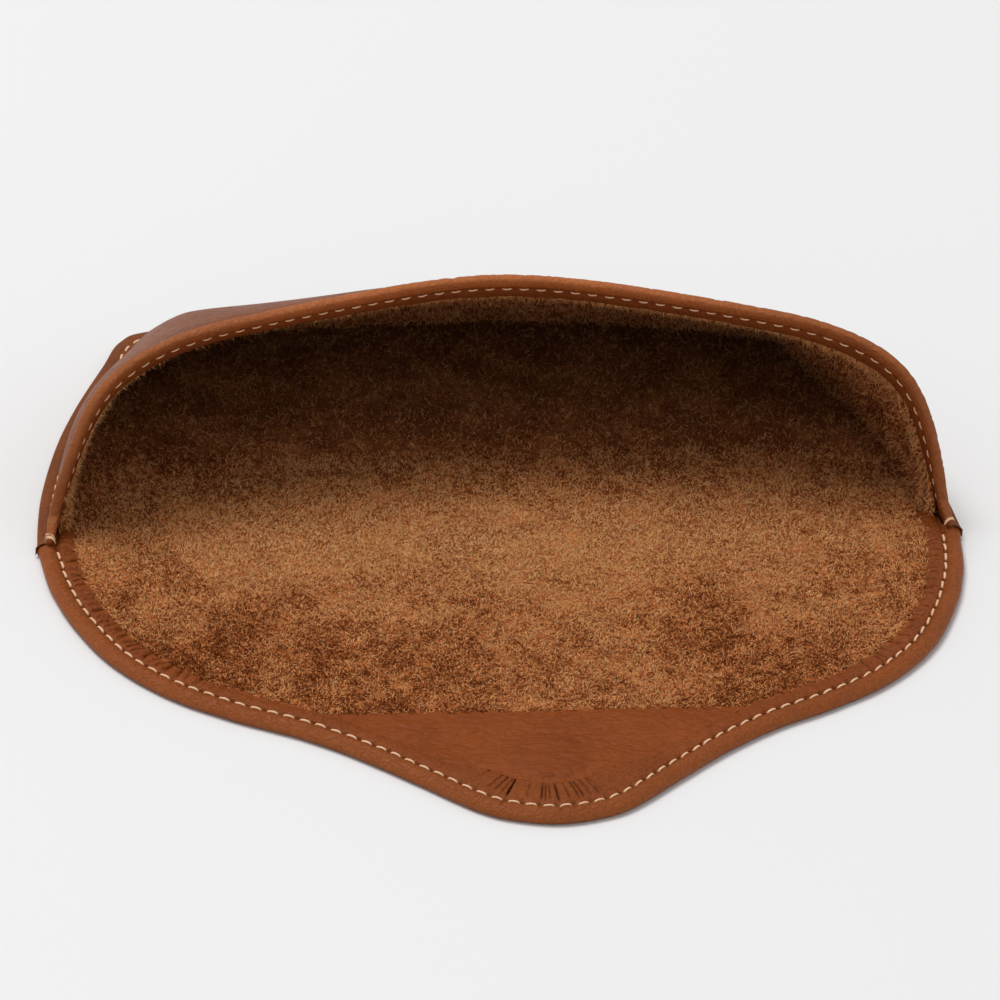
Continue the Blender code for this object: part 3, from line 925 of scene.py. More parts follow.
SUEDE_COLUMNS = 301
SUEDE_STEP = 0.0006
REAR_STEP = 0.0011
SUEDE_UNDER_HEM = 0.0002  # the suede runs this far in under the hem
SUEDE_TUFTS = ((0.00016, 0.0016, 31), (0.00010, 0.0007, 32))
SUEDE_SWELL = (0.00010, 0.008, 33)
SPIKE_ENDS = [(0, 2, 1), (3, 4, 6), (4, 5, 6), (5, 3, 6)]
SPIKE_SIDES = [(0, 1, 4), (0, 4, 3), (1, 2, 5), (1, 5, 4), (2, 0, 3), (2, 3, 5)]
CURL = 0.75  # how much a fibre bends
TONE_SPREAD = 0.75  # how much fibres differ in brightness
TUFT_TONES = ((0.50, 0.0007, 54), (0.35, 0.0022, 57))
FIBRE_SHADE_AND_HIGHLIGHT = [-0.65] * 3 + [0.15] * 3 + [0.6]  # painted shade at the root and a painted highlight at the tip, from the root to the tip of a fibre
PATCHES = ((1.0, 0.013, 27), (0.6, 0.006, 28))
PATCHES_STRENGTH = 0.46
PATCHES_FADE = (0.002, 0.024)  # there are none beside the fold
FOLD_BRIGHT = (1.05, 0.001, 0.018)
SIDES_FROM = (0.045, 0.035)
MIDDLE_BRIGHT = (0.46, 0, 0.042)
MIDDLE_ALONG = (-0.016, 0.020)
TUFT_SIZE = 0.0014
SWIRL_SIZE = 0.0050
DEEP_FIBRES = (0.016, 0.040)
DEEP_FLOOR = (0.014, 0.035)
NAP_LOWEST = SUEDE_LEVEL - 0.0012
SUEDE_UNDER_FACING = 0.0004
FINE_UNTIL = 0.030  # the floor's suede is fine up to this depth
FLOOR_INSET = FLANGE + 0.0010
HEM_STOPS = (0.0070, 0.0025)


def suede_grid(ys, reaches):
    """A flat brushed sheet with soft tufts."""
    grid = sheet(ys, reaches, np.linspace(-1, 1, SUEDE_COLUMNS))
    grid[..., 2] = SUEDE_LEVEL
    grid[..., 2] += rough(grid, *SUEDE_TUFTS)
    grid[..., 2] += rough(grid, SUEDE_SWELL)
    return grid


def suede_values(grid, shade=0.0):
    count = grid[..., 0].size
    return {"tone": np.full(count, SUEDE_SHEET_SHADE), "shade": np.zeros(count) + np.ravel(shade)}


def scatter(grid, per_square_mm, side, rng):
    """Even random places on a grid of points, with the way out from each. Side is the sign of its height."""
    a, b, c, d = grid[:-1, :-1], grid[1:, :-1], grid[1:, 1:], grid[:-1, 1:]
    normal = np.cross(c - a, d - b).reshape(-1, 3)
    normal *= side * np.sign(normal[:, 2].sum())
    area = np.linalg.norm(normal, axis=1)
    count = int(area.sum() / 2 * per_square_mm * 1e6)
    chosen = rng.choice(len(area), count, p=area / area.sum())
    u, v = rng.random((2, count, 1))
    corners = [corner.reshape(-1, 3)[chosen] for corner in (a, b, c, d)]
    place = (1 - u) * ((1 - v) * corners[0] + v * corners[3]) + u * ((1 - v) * corners[1] + v * corners[2])
    return place, unit(normal[chosen])


def fibre_mesh(roots, ways, bends, lengths, width):
    """Closed curved spikes, three-sided and pointed. Returns points and triangles."""
    count = len(roots)
    side = unit(np.cross(ways, ways[:, [1, 2, 0]] + 0.31))
    other = np.cross(ways, side)
    turn = np.arange(3) / 3 * math.tau
    ring = side[:, None] * np.cos(turn)[:, None] + other[:, None] * np.sin(turn)[:, None]
    lengths = lengths[:, None]
    base = roots - ways * lengths * 0.12
    knee = roots + ways * lengths * 0.5
    tip = knee + unit(ways + bends) * lengths * 0.5
    low = base[:, None] + ring * width
    high = knee[:, None] + ring * width * 0.8
    points = np.concatenate([low, high, tip[:, None]], axis=1)
    one = np.array(SPIKE_ENDS + SPIKE_SIDES)
    faces = (one[None] + (np.arange(count) * FIBRE_POINTS)[:, None, None]).reshape(-1, 3)
    return points.reshape(-1, 3), faces


def drift(points):
    """Brighter nap beside the fold and in the middle, and darker patches towards the tip."""
    x, y = np.abs(points[:, 0]), points[:, 1]
    beside_fold = ridge(y, FOLD_BRIGHT) * (1 - 0.50 * rising(x, *SIDES_FROM))
    middle = ridge(x, MIDDLE_BRIGHT) * hump(y, *MIDDLE_ALONG)
    start, over = PATCHES_FADE
    patches = PATCHES_STRENGTH * rough(points, *PATCHES) * smooth((start - y) / over)
    return beside_fold + middle - 0.05 + patches


def nap_mesh(grid, density, seed, length, side=1, up=0.62, wander=0.5, width=FIBRE_R, way=(0, 0, 0)):
    """Short curly fibres that stand in tufts on a sheet. Returns points, faces and a tone for each point,
    with painted shade at the roots and painted highlights at the tips.
    """
    rng = np.random.default_rng(seed)
    roots, normal = scatter(grid, density, side, rng)
    count = len(roots)
    pull = slope(roots, TUFT_SIZE, seed + 1) * 1.3 + slope(roots, SWIRL_SIZE, seed + 2)
    ways = pull + rng.normal(0, wander, (count, 3))
    ways -= normal * np.sum(ways * normal, axis=1, keepdims=True)
    lift = normal * (up * rng.uniform(0.6, 1.5, (count, 1))) + np.array(way)
    bends = rng.normal(0, CURL, (count, 3)) - normal * 0.25
    lengths = length * rng.uniform(0.55, 1.35, count)
    points, faces = fibre_mesh(roots, unit(ways + lift), bends, lengths, width)
    own = rng.uniform(-TONE_SPREAD, TONE_SPREAD, count)
    tone = np.repeat(own + rough(roots, *TUFT_TONES) + drift(roots), FIBRE_POINTS)
    tone += np.tile(FIBRE_SHADE_AND_HIGHLIGHT, count)
    shade = np.repeat(DEEP_SHADE * rising(roots[:, 1], *DEEP_FIBRES), FIBRE_POINTS)
    points[:, 2] = np.maximum(points[:, 2], NAP_LOWEST)
    return points, faces, {"tone": tone, "shade": shade}


def pouch_nap(name, grid, *settings, **more):
    points, faces, values = nap_mesh(grid, *settings, **more)
    pouch_piece(name, points, faces, NAP, values)


def build_flap_suede():
    """Suede over the inside of the flap, as far as the facing."""
    ys = np.arange(0, FACING_Y - SUEDE_UNDER_FACING, -SUEDE_STEP)
    grid = suede_grid(ys, flap.reach(hem_widths(flap.run) - SUEDE_UNDER_HEM, ys))
    faces = grid_faces(*grid.shape[:2])[:, ::-1]
    made = flap_pieces("flap_suede", grid.reshape(-1, 3), faces, SUEDE, suede_values(grid))
    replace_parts(made["spine"], "spine_lining")
    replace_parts(made["bridge"], "bridge_lining")
    for name, density, seed, long in (("short", 4.75, 41, SHORT_FIBRE), ("long", 4.4, 43, LONG_FIBRE)):
        points, faces, values = nap_mesh(grid, density, seed, long)
        flap_pieces(f"flap_nap_{name}", points, faces, NAP, values, FIBRE_FACES)


def build_floor_suede():
    """Suede over the inside of the back panel, with coarser fibres where it is deep in the pouch."""
    rear_ys = np.arange(FINE_UNTIL, POUCH_DEPTH - FLANGE, REAR_STEP)
    ys = np.concatenate([np.arange(0, FINE_UNTIL, SUEDE_STEP), rear_ys])
    narrow = HEM_WIDTH - SUEDE_UNDER_HEM
    inset = narrow + (FLOOR_INSET - HEM_WIDTH) * rising(pouch.at[:, 1], *HEM_STOPS)
    grid = suede_grid(ys, pouch.reach(inset, ys))
    faces = grid_faces(*grid.shape[:2])
    values = suede_values(grid, DEEP_SHADE * rising(grid[..., 1], *DEEP_FLOOR))
    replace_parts(pouch_piece("floor_suede", grid.reshape(-1, 3), faces, SUEDE, values), "back_lining")
    front_part = grid[ys < FINE_UNTIL + SUEDE_STEP / 2]
    rear_part = grid[ys > FINE_UNTIL - SUEDE_STEP * 1.5]
    for name, part, density, seed, long in (
        ("floor_nap_short", front_part, 3.9, 61, SHORT_FIBRE),
        ("floor_nap_long", front_part, 3.7, 63, LONG_FIBRE),
        ("floor_nap_rear", rear_part, 2.4, 71, REAR_FIBRE),
    ):
        pouch_nap(name, part, density, seed, long)


# ---------------------------------------------------------------- back panel


BACK_GROOVE = (0.00040, SEAM_INSET, 0.00050)
BACK_INSIDE = 0.0090  # the middle of the underside starts this far in
BACK_RIM = 0.0088
BACK_LAST = 0.0004
BACK_STEP = 0.0004
BACK_EDGE = ((0.00012, 0.0002), (0.0, 0.0005), (0.0, 0.0009), (0.00015, 0.0011), (0.006, 0.0011))
STRIP_POINTS = 40  # each way, over the last of the hem
STRIP_FRONT = -0.0010
STRIP_BACK = 0.0078
STRIP_WEAR = (0.2, 0.0021, 0.0012)
STRIP_LEVEL = HEM_TOP - 0.00004
STRIP_PUCKER = (0.00016, 0.0012, 14)
STRIP_PUCKER_FROM = (0.0045, 0.002)
DARK_PUCKER = 0.00009
PRESSED_DEPTH = 0.0014  # the front panel presses the hem's outer part down ...
PRESSED_WITHIN = STITCH_INSET - 0.0002
PRESSED_EDGE = 0.0006
PRESSED_FROM = (0.0012, 0.0008)  # ... from here back
HEM_DROP = 0.0009  # the inner edge ends below the suede
EDGE_ROUND = 0.0013
EDGE_DROP = 0.0008
BACK_TUCK = 0.0007
BACK_TUCK_FROM = (0.004, 0.004)
FRONT_TUCK = 0.00030
FRONT_TUCK_OVER = 0.0006


def hem_end(side):
    """The last of the flap's hem, under the corner of the front panel. Returns its grid and shade."""
    y = np.linspace(STRIP_FRONT, STRIP_BACK, STRIP_POINTS)
    depth = np.linspace(0.0, HEM_INSIDE, STRIP_POINTS)
    reach = pouch.reach(0, np.maximum(y, 0))
    strip = np.zeros((len(y), len(depth), 3))
    strip[..., 0] = side * (reach[:, None] - depth)
    strip[..., 1] = y[:, None]
    low = smooth((PRESSED_WITHIN - depth) / PRESSED_EDGE) * rising(y, *PRESSED_FROM)[:, None]
    level = STRIP_LEVEL + hem_level(depth) - (depth > HEM_WIDTH) * HEM_DROP
    level = level - smooth((EDGE_ROUND - depth) / EDGE_ROUND) * EDGE_DROP
    wave = np.abs(rough(strip * (0.2, 1, 1), STRIP_PUCKER)) * rising(depth, *STRIP_PUCKER_FROM)
    tuck = BACK_TUCK * rising(y, *BACK_TUCK_FROM) + FRONT_TUCK * smooth(-y / FRONT_TUCK_OVER)
    strip[..., 2] = np.maximum(level - low * PRESSED_DEPTH - wave - tuck[:, None], LOWEST)
    return strip, 0.3 * (wave > DARK_PUCKER)


def build_back_leather():
    """Flat back of the pouch, with the ends of the flap's hem."""
    rows = []
    for share in np.linspace(0, 1, 16)[:-1]:
        rows.append(level_row(pouch.inside(BACK_INSIDE) * (share, 1), UNDER_LEVEL))
    for depth in np.arange(BACK_RIM, BACK_LAST, -BACK_STEP):
        rows.append(level_row(pouch.inside(depth), ridge(depth, BACK_GROOVE) + UNDER_GAP))
    for depth, height in BACK_EDGE:
        rows.append(level_row(pouch.inside(depth), height))
    grid = np.stack(rows, axis=1)
    grid[..., 1] = np.maximum(grid[..., 1], 0)
    points = [grid.reshape(-1, 3)]
    faces = [grid_faces(*grid.shape[:2])[:, ::-1]]
    worn = [np.zeros(len(points[0]))]
    shade = [np.zeros(len(points[0]))]
    strip_worn = ridge(np.linspace(0.0, HEM_INSIDE, STRIP_POINTS), STRIP_WEAR)
    for side in (-1, 1):
        strip, dark = hem_end(side)
        order = grid_faces(STRIP_POINTS, STRIP_POINTS, sum(len(group) for group in points))
        faces.append(order if side < 0 else order[:, ::-1])
        points.append(strip.reshape(-1, 3))
        worn.append(np.tile(strip_worn, STRIP_POINTS))
        shade.append(dark.ravel())
    kinds = np.repeat([0, 1, 1], [len(group) for group in faces])
    points = np.concatenate(points)
    faces = np.concatenate(faces)
    values = {"worn": np.concatenate(worn), "shade": np.concatenate(shade)}
    made = pouch_piece("back_leather_skin", points, faces, SHELL_LEATHER, values)
    add_materials(made, [HEM_LEATHER], kinds)
    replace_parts(made, "back_leather")


# ---------------------------------------------------------------- front panel


def outward(along, across):
    """Way out of a surface, from two directions that lie in it."""
    out = unit(np.cross(along, across))
    middle = out[len(out) // 2]
    if (middle[2] if middle.ndim == 1 else middle[len(middle) // 2, 2]) < 0:
        out = -out
    return out


class FrontPanel:
    """Middle surface of the front leather, as stations from the right corner of the mouth to the left."""

    def __init__(self, count):
        edge = half_curve(np.array(POUCH_OUTLINE) * (HALF_WIDTH, POUCH_DEPTH), count)
        rim = half_curve(np.array(RIM_OUTLINE) * (HALF_WIDTH, POUCH_DEPTH, RIM_HEIGHT), count)
        rim = softened(rim, RIM_ROUNDING)
        tangent = np.gradient(edge, axis=0)
        tangent[-1] = (-1, 0)
        inward = unit(np.column_stack([-tangent[:, 1], tangent[:, 0]]))
        foot = edge + inward * FLANGE
        foot[:, 1] = np.maximum(foot[:, 1], rim[0, 1] + ROLL_R)
        self.edge = whole(np.column_stack([edge, np.full(count, FLANGE_MID)]))
        self.foot = whole(np.column_stack([foot, np.full(count, FLANGE_MID)]))
        rim = whole(rim)
        self.inward = unit(self.foot - self.edge)
        rise = unit(rim - self.foot)
        out = outward(np.gradient(rim, axis=0), rise)
        self.roll = softened(rim + ROLL_RISE * rise + ROLL_OUT * out, RIM_ROUNDING)
        self.length = np.linalg.norm(self.roll - self.foot, axis=1)[:, None]
        share = 1 - np.abs(np.linspace(-1, 1, 2 * count - 1))
        bulge = SIDE_BULGE + (BACK_BULGE - SIDE_BULGE) * smooth(share / 0.8)
        right = smooth(np.linspace(1, -1, 2 * count - 1) * 4)
        corner = CORNER_BULGE - RIGHT_CORNER_SAG * right
        bulge = (bulge + corner * hump(share, CORNER_AT, CORNER_SPAN))[:, None]
        self.control = (self.foot + self.roll) / 2 + 2 * bulge * self.length * out
        rise = unit(self.roll - self.control)
        out = outward(np.gradient(self.roll, axis=0), rise)
        flare = (RIM_FLARE * (0.45 + 0.55 * smooth(share / 0.45)) * smooth(share / 0.10))[:, None]
        self.plain_out = out
        self.slope = np.tan(flare)
        self.rise = unit(softened(rise * np.cos(flare) + out * np.sin(flare), RIM_ROUNDING))
        out = softened(out * np.cos(flare) - rise * np.sin(flare), RIM_ROUNDING)
        self.out = unit(out - self.rise * np.sum(out * self.rise, axis=1, keepdims=True))
        self.run = run_length(self.roll)

    def wall(self, share):
        """A row up the panel, from its foot (0) to the middle of the roll (1)."""
        share = np.asarray(share, float)
        share = share[:, None] if share.ndim else share
        low = self.foot + (self.control - self.foot) * share
        high = self.control + (self.roll - self.control) * share
        below = (1 - share) * self.length
        neck = self.slope * below * np.exp(-((below / RIM_NECK) ** 2))
        return low + (high - low) * share - neck * self.plain_out

    def beside_roll(self, down, out):
        """A row beside the middle of the roll, this far down the wall and out of it."""
        down = np.asarray(down, float)
        down = down[:, None] if down.ndim else down
        return self.roll - down * self.rise + out * self.out


front = FrontPanel(330)

ROLL_CREASES = 130
CREASE_WIDTH = (0.0002, 0.0006)
CREASE_DEPTH = (0.00003, 0.00013)
ROLL_WAVES = ((0.00005, 0.0026, 17), (0.00003, 0.0010, 18))
FLANGE_ROWS = 9
WALL_ROWS = 44
ROLL_ROWS = 24
STRIP_ROWS = 13
WALL_SAG = (0.00035, 0.016, 15)
OUTER_GROOVE = (0.00028, OUTER_STITCH_DROP, 0.0005)
SEAM_GROOVE = (0.00030, SEAM_INSET, 0.0005)
RIM_GROOVE = (0.00026, RIM_STITCH_DROP, 0.0004)
STRIP_FRAY = (0.00025, 0.0024, 16)
STRIP_FRAY_FROM = (0.0031, 0.0009)
STRIP_START = 0.0005
STRIP_INNER = 0.0006
SAG_BELOW = 0.012  # the wall sags fully from this far below the roll
# The flange's cut edge: how far out it stands and how high, from inside the back's hide upwards
FLANGE_CUT = (
    (-0.0004, -HALF_LEATHER - 0.0006),
    (0.0002, -HALF_LEATHER),
    (0.00025, 0.0),
    (0.00012, HALF_LEATHER * 0.8),
)


def roll_wear(run, points):
    """Small dips across the roll, as the leather crinkles round the bend."""
    rng = np.random.default_rng(19)
    places = rng.uniform(-run[-1], run[-1], ROLL_CREASES)
    widths = rng.uniform(*CREASE_WIDTH, ROLL_CREASES)
    depths = rng.uniform(*CREASE_DEPTH, ROLL_CREASES)
    total = rough(points, *ROLL_WAVES)
    for at, width, deep in zip(places, widths, depths):
        near = np.abs(run - at) < CREASE_REACH
        total[near] -= deep * hump(run[near] - at, 0, width)
    return total


def build_front_leather():
    """Front panel with its sewn flange, its wall, the rolled rim and the rim's turned hem."""
    lean = math.asin(HALF_LEATHER / ROLL_R)
    neck = ROLL_R * math.cos(lean)
    top_share = 1 - neck / front.length[:, 0]
    up_flange = np.linspace(0, 0.9, FLANGE_ROWS)
    up_wall = np.linspace(0, 1, WALL_ROWS)
    rows = [front.edge + (front.foot - front.edge) * share for share in up_flange]
    rows += [front.wall(top_share * share) for share in up_wall]
    middle = np.stack(rows, axis=1)
    normal = outward(np.gradient(middle, axis=0), np.gradient(middle, axis=1))
    for _ in range(3):
        normal[:, 1:-1] = unit(normal[:, :-2] + 2 * normal[:, 1:-1] + normal[:, 2:])
    skin = middle + normal * HALF_LEATHER
    wall = skin[:, FLANGE_ROWS:]
    below = front.length * (1 - up_wall * top_share[:, None])
    sag = rough(wall, WALL_SAG) * smooth(below / SAG_BELOW)
    wall += normal[:, FLANGE_ROWS:] * (sag - ridge(below, OUTER_GROOVE))[..., None]
    skin[:, :FLANGE_ROWS] -= normal[:, :FLANGE_ROWS] * ridge(up_flange * FLANGE, SEAM_GROOVE)[:, None]
    cut_edge = [front.edge - front.inward * reach + (0, 0, lift) for reach, lift in FLANGE_CUT]
    wear = roll_wear(front.run, front.roll)
    roll = []
    for turn in np.linspace(math.pi - lean, -math.pi * 0.55, ROLL_ROWS)[1:]:
        size = ROLL_R + wear * (0.4 + 0.6 * math.cos(turn / 2) ** 2)
        flat = 1 - (1 - STRIP_DEPTH / ROLL_R) * smooth(-1.2 * math.sin(turn))
        up = (size * math.cos(turn))[:, None] * front.rise
        roll.append(front.roll + up + (size * math.sin(turn) * flat)[:, None] * front.out)
    strip = []
    limit = front.length[:, 0] * STRIP_LIMIT
    fray = rough(front.roll, STRIP_FRAY)
    for down in np.linspace(STRIP_START, RIM_HEM_DROP, STRIP_ROWS):
        reach = np.minimum(down + fray * rising(down, *STRIP_FRAY_FROM), limit)
        strip.append(front.beside_roll(reach, ridge(down, RIM_GROOVE) - STRIP_DEPTH))
    strip.append(front.beside_roll(np.minimum(RIM_HEM_DROP + ROW_GAP, limit), -STRIP_INNER))
    groups = [np.stack(cut_edge, axis=1), skin, np.stack(roll, axis=1), np.stack(strip, axis=1)]
    grid = np.concatenate(groups, axis=1)
    widths = [group.shape[1] for group in groups]
    kinds = np.repeat([0, 0, 1, 2], widths)
    grid = with_feet(grid, widths[0], widths[0] + FLANGE_ROWS)
    faces = grid_faces(*grid.shape[:2])
    worn = np.zeros(grid.shape[:2])
    worn[:, kinds == 0] = 0.05
    worn[:, : widths[0]] = 0.5
    # painted highlight: the roll is paler along its crest
    worn[:, kinds == 1] = 0.45 * hump(np.linspace(-1, 1, widths[2]), -0.1, 0.7)
    stations = np.linspace(-1, 1, len(grid))
    shade = np.zeros(grid.shape[:2])
    shade[:, kinds == 1] = 0.26 * smooth((np.abs(stations) - 0.15) / 0.45)[:, None]
    shade[:, kinds == 2] = np.linspace(0.05, 0.35, widths[3])
    values = {"worn": worn.ravel(), "shade": shade.ravel()}
    made = pouch_piece("front_leather_skin", grid.reshape(-1, 3), faces, SHELL_LEATHER, values)
    add_materials(made, [ROLL_LEATHER, HEM_LEATHER], np.tile(kinds[:-1], len(grid) - 1))
    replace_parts(made, "front_leather")


FOOT_INSET = 0.0022  # where the rolled rim's foot stands on the hem, in from the corner
FOOT_Y = -0.0002
FOOT_SINK = 0.0001
FOOT_TAPER = 0.58
FOOT_STEPS = 17
TAB_OUT = 0.0004  # how far the flange's tab stands out of the corner
TAB_WIDTH = 0.0032
TAB_LENGTH = 0.0004
TAB_LIFT = 0.0008
TAB_SINK = 0.0003
TAB_END = (0, 0.0002, -0.0003)


def with_feet(grid, cut, flange):
    """Run both ends of the rolled rim down on to the flap's hem, and the flange on as a tab beside it."""
    across = np.concatenate([np.zeros(cut), np.linspace(0, 1, flange - cut)])
    lift = TAB_LIFT * smooth(across / 0.4) - TAB_SINK * (1 - across)
    ends = []
    for end, side in ((grid[0], 1), (grid[-1], -1)):
        foot = end[flange:]
        middle = foot.mean(axis=0)
        target = np.array((side * (HALF_WIDTH - FOOT_INSET), FOOT_Y, HEM_TOP - FOOT_SINK))
        tab = end[:flange].copy()
        tab[:, 0] = side * (HALF_WIDTH + TAB_OUT - TAB_WIDTH * across)
        tab[:, 1] = TAB_LENGTH * (across - 1)
        tab[:, 2] += lift
        steps = []
        for step in np.linspace(1, 0, FOOT_STEPS)[:-1]:
            moved = end.copy()
            pull = smooth(step)
            thin = 1 - FOOT_TAPER * step**2
            moved[flange:] = middle + (foot - middle) * thin + (target - middle) * pull
            moved[:flange] = end[:flange] + (tab - end[:flange]) * pull
            steps.append(moved)
        closed = steps[0].copy()
        closed[flange:] = steps[0][flange:].mean(axis=0)
        closed[:flange] += TAB_END
        ends.append(np.stack([closed] + steps))
    grid = np.concatenate([ends[0], grid, ends[1][::-1]])
    grid[..., 2] = np.maximum(grid[..., 2], LOWEST)
    return grid


NEAR_ROWS = 20  # rows of the front panel's suede that lie close to the rim
NEAR_FALL = (0.0035, 0.012)
FAR_ROWS = 34
FAR_FALL = (0.0135, 0.060)
THIN_SUEDE = 0.00085  # how far the suede lies inside the panel, at the rim's hem
THICKER = 0.0012
THICKER_FROM = (0.0038, 0.006)
FRONT_SUEDE_LOWEST = SUEDE_LEVEL - 0.0002
RIM_NAP = {"up": 0.6, "wander": 0.6, "width": 0.00008, "way": (0, 0, -0.5)}  # it hangs down
INNER_TUFTS = ((0.00018, 0.0017, 24), (0.00010, 0.0008, 25))


def build_front_suede():
    """Suede inside the front panel, from the rim's hem down to the floor."""
    length = front.length[:, 0]
    falls = np.concatenate([np.linspace(*NEAR_FALL, NEAR_ROWS), np.linspace(*FAR_FALL, FAR_ROWS)])
    rows = []
    for fall in falls:
        share = np.clip(1 - np.minimum(fall, length * 0.995) / length, 0.005, 1)
        rows.append(front.wall(share))
    middle = np.stack(rows, axis=1)
    span = np.gradient(middle, axis=1)
    span[np.linalg.norm(span, axis=-1) < TINY] = (0, 0, -1)
    normal = outward(np.gradient(middle, axis=0), span)
    normal = unit(normal * 0.35 + front.out[:, None] * 0.65)
    depth = THIN_SUEDE + THICKER * rising(falls, *THICKER_FROM)
    grid = middle - normal * depth[:, None]
    grid -= normal * rough(grid, *INNER_TUFTS)[..., None]
    grid = grid[4:-4]
    grid[..., 2] = np.maximum(grid[..., 2], FRONT_SUEDE_LOWEST)
    faces = grid_faces(*grid.shape[:2])[:, ::-1]
    made = pouch_piece("front_suede", grid.reshape(-1, 3), faces, SUEDE, suede_values(grid))
    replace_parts(made, "front_lining")
    near = grid[:, 1:NEAR_ROWS][:, ::-1]
    far = grid[:, NEAR_ROWS - 2:][:, ::-1]
    pouch_nap("front_nap_rim", near, 5.0, 81, RIM_FIBRE, -1, **RIM_NAP)
    pouch_nap("front_nap_wall", far, 2.2, 91, WALL_FIBRE, -1)


# ---------------------------------------------------------------- pouch seams and tacks


SEAM_END = 0.002
OUTER_SEAM_END = 0.003
INNER_STITCH_DEPTH = STRIP_DEPTH - 0.00008
OUTER_STITCH_OUT = 0.00042
SEAM_STITCH_RISE = HALF_LEATHER - 0.0001


def run_seam(name, path, ups, node, radius=THREAD_R, end=SEAM_END):
    """Stitches along a path on the pouch."""
    rng = np.random.default_rng(len(name))
    run = run_length(path)
    at = stitch_places(run, end)
    along = unit(picked(at, run, np.gradient(path, axis=0)))
    up = unit(picked(at, run, ups))
    lean = math.radians(6) + rng.normal(0, math.radians(2), len(at))
    along = unit(along * np.cos(lean)[:, None] + np.cross(up, along) * np.sin(lean)[:, None])
    places = picked(at, run, path)
    points, faces, groove = dashes(places, along, up, STITCH_LENGTH, radius, POUCH_STITCH_SINK)
    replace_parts(pouch_piece(name, points, faces, THREAD, {"groove": groove}), node)


def build_pouch_seams():
    """The stitches inside and outside the rim, and those of the flange, on its top and underneath."""
    length = front.length[:, 0]
    inner = front.beside_roll(np.minimum(RIM_STITCH_DROP, length * ROLL_LIMIT), -INNER_STITCH_DEPTH)
    run_seam("rim_stitches_inner", inner, -front.out, "rim_thread_inner", RIM_THREAD_R)
    share = 1 - np.minimum(OUTER_STITCH_DROP, length * ROLL_LIMIT) / length
    outer = front.wall(share) + OUTER_STITCH_OUT * front.plain_out
    run_seam("rim_stitches_outer", outer, front.out, "rim_thread_outer", OUTER_THREAD_R, OUTER_SEAM_END)
    up = np.zeros((len(front.run), 3))
    up[:, 2] = 1
    seam = front.edge + front.inward * SEAM_INSET
    run_seam("seam_stitches_top", seam + (0, 0, SEAM_STITCH_RISE), up, "seam_thread_top")
    run_seam("seam_stitches_under", level_row(seam[:, :2], UNDER_STITCH_LEVEL), -up, "seam_thread_bottom")


TACK_FROM = np.array([(0.0878, 0.0012, 0.0029), (0.0878, 0.00068, 0.0029), (0.0878, 0.00016, 0.0029)])
TACK_TO = np.array([(0.0857, 0.0001, 0.0030), (0.0857, -0.00037, 0.0030), (0.0857, -0.00084, 0.0030)])
TACK_SHIFT = (0, -0.0006, 0.0019)  # the strands lie over the foot of the roll
TACK_WANDER = 0.00008


def build_tacks():
    """Bar tacks that hold the ends of the rolled rim down on the hem."""
    for side, hand in ((-1, "left"), (1, "right")):
        rng = np.random.default_rng(5 + side)
        starts = TACK_FROM + rng.normal(0, TACK_WANDER, TACK_FROM.shape)
        ends = TACK_TO + rng.normal(0, TACK_WANDER, TACK_TO.shape)
        starts[:, 0] *= side
        ends[:, 0] *= side
        along = unit(ends - starts)
        ups = unit(np.array((0, 0, 1.0)) - along * along[:, 2:3])
        length = float(np.linalg.norm(ends - starts, axis=1).mean())
        places = (starts + ends) / 2 + TACK_SHIFT
        points, faces, groove = dashes(places, along, ups, length, TACK_THREAD_R, TACK_SINK)
        name = f"corner_tack_strands_{hand}"
        made = pouch_piece(name, points, faces, THREAD, {"groove": groove})
        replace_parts(made, f"corner_tack_{hand}")


# ---------------------------------------------------------------- studio


FLOOR_SIZE = 3
FLOOR_TONE = 0.85
SKY_STRENGTH = 0.48
LAMPS = (("key", (-0.70, 0.34, 2.30), 1.15, 34.6), ("front_fill", (0.3, -1.3, 1.1), 0.9, 1.5))
AZIMUTH = math.radians(-8.6)
ELEVATION = math.radians(33.1)
ROLL = math.radians(3.6)
TARGET = Vector((0.0018, 0.0164, 0.0))
DISTANCE = 2.420
LENS = 452.4
SENSOR = 36


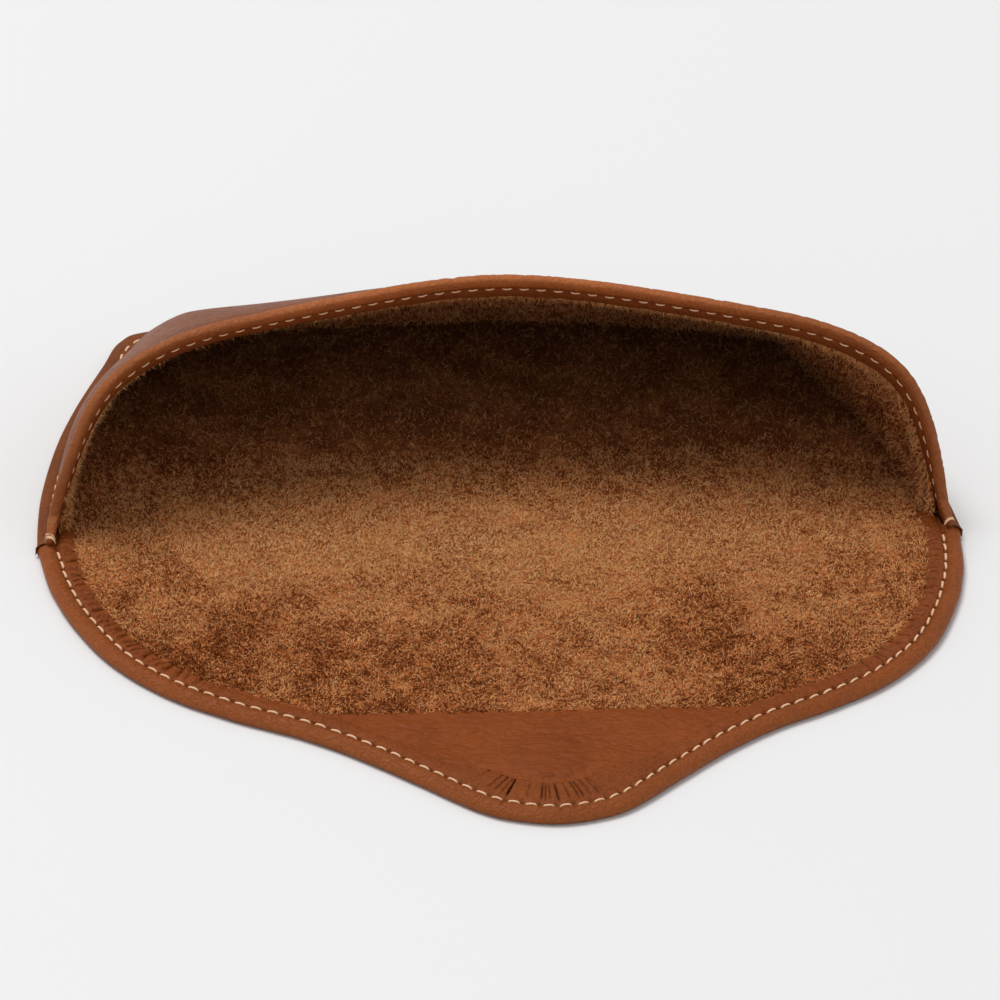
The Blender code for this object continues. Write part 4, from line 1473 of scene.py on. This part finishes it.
def build_studio():
    """Pale floor, and soft light from above and in front."""
    mesh = bpy.data.meshes.new("floor")
    corners = [(x * FLOOR_SIZE, y * FLOOR_SIZE, 0) for x, y in ((-1, -1), (1, -1), (1, 1), (-1, 1))]
    mesh.from_pydata(corners, [], [(0, 1, 2, 3)])
    floor = bpy.data.objects.new("floor", mesh)
    bpy.context.scene.collection.objects.link(floor)
    paper = Shader("floor_paper")
    tone = colour(FLOOR_TONE, FLOOR_TONE, FLOOR_TONE)
    mesh.materials.append(paper.finish(Base_Color=tone, Roughness=0.9, Specular_IOR_Level=0.1))
    world = bpy.data.worlds.new("studio")
    world.use_nodes = True
    sky = world.node_tree.nodes["Background"]
    sky.inputs["Color"].default_value = colour(1, 1, 1)
    sky.inputs["Strength"].default_value = SKY_STRENGTH
    bpy.context.scene.world = world
    for name, place, size, power in LAMPS:
        light = bpy.data.lights.new(name, "AREA")
        light.size = size
        light.energy = power
        lamp = bpy.data.objects.new(name, light)
        lamp.location = place
        lamp.rotation_euler = (-Vector(place)).to_track_quat("-Z", "Y").to_euler()
        bpy.context.scene.collection.objects.link(lamp)


def build_camera():
    """Long lens, 33 degrees up and a little to the left, rolled slightly."""
    back = Vector((
        math.sin(AZIMUTH) * math.cos(ELEVATION),
        -math.cos(AZIMUTH) * math.cos(ELEVATION),
        math.sin(ELEVATION),
    ))
    right = (-back).cross(Vector((0, 0, 1))).normalized()
    up = right.cross(-back)
    x = math.cos(ROLL) * right + math.sin(ROLL) * up
    y = math.cos(ROLL) * up - math.sin(ROLL) * right
    turned = Matrix((x, y, back)).transposed().to_4x4()
    data = bpy.data.cameras.new("camera")
    data.lens = LENS
    data.sensor_width = SENSOR
    data.clip_end = 20
    camera = bpy.data.objects.new("camera", data)
    camera.matrix_world = Matrix.Translation(TARGET + back * DISTANCE) @ turned
    bpy.context.scene.collection.objects.link(camera)
    bpy.context.scene.camera = camera


build_flap_leather()
build_facing()
for top in (True, False):
    stitches = flap_seam(top)
    where = "top" if top else "bottom"
    for length in ("spine", "bridge"):
        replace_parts(stitches[length], f"{length}_thread_left_{where}", f"{length}_thread_right_{where}")
    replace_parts(stitches["tip"], f"tip_thread_{where}")
build_flap_suede()
build_floor_suede()
build_back_leather()
build_front_leather()
build_front_suede()
build_pouch_seams()
build_tacks()
for magnet in ("tip_magnet", "front_magnet"):
    frame["nodes"][magnet].data.materials.clear()
    frame["nodes"][magnet].data.materials.append(METAL)
build_studio()
build_camera()
bpy.context.scene.view_settings.view_transform = "Standard"
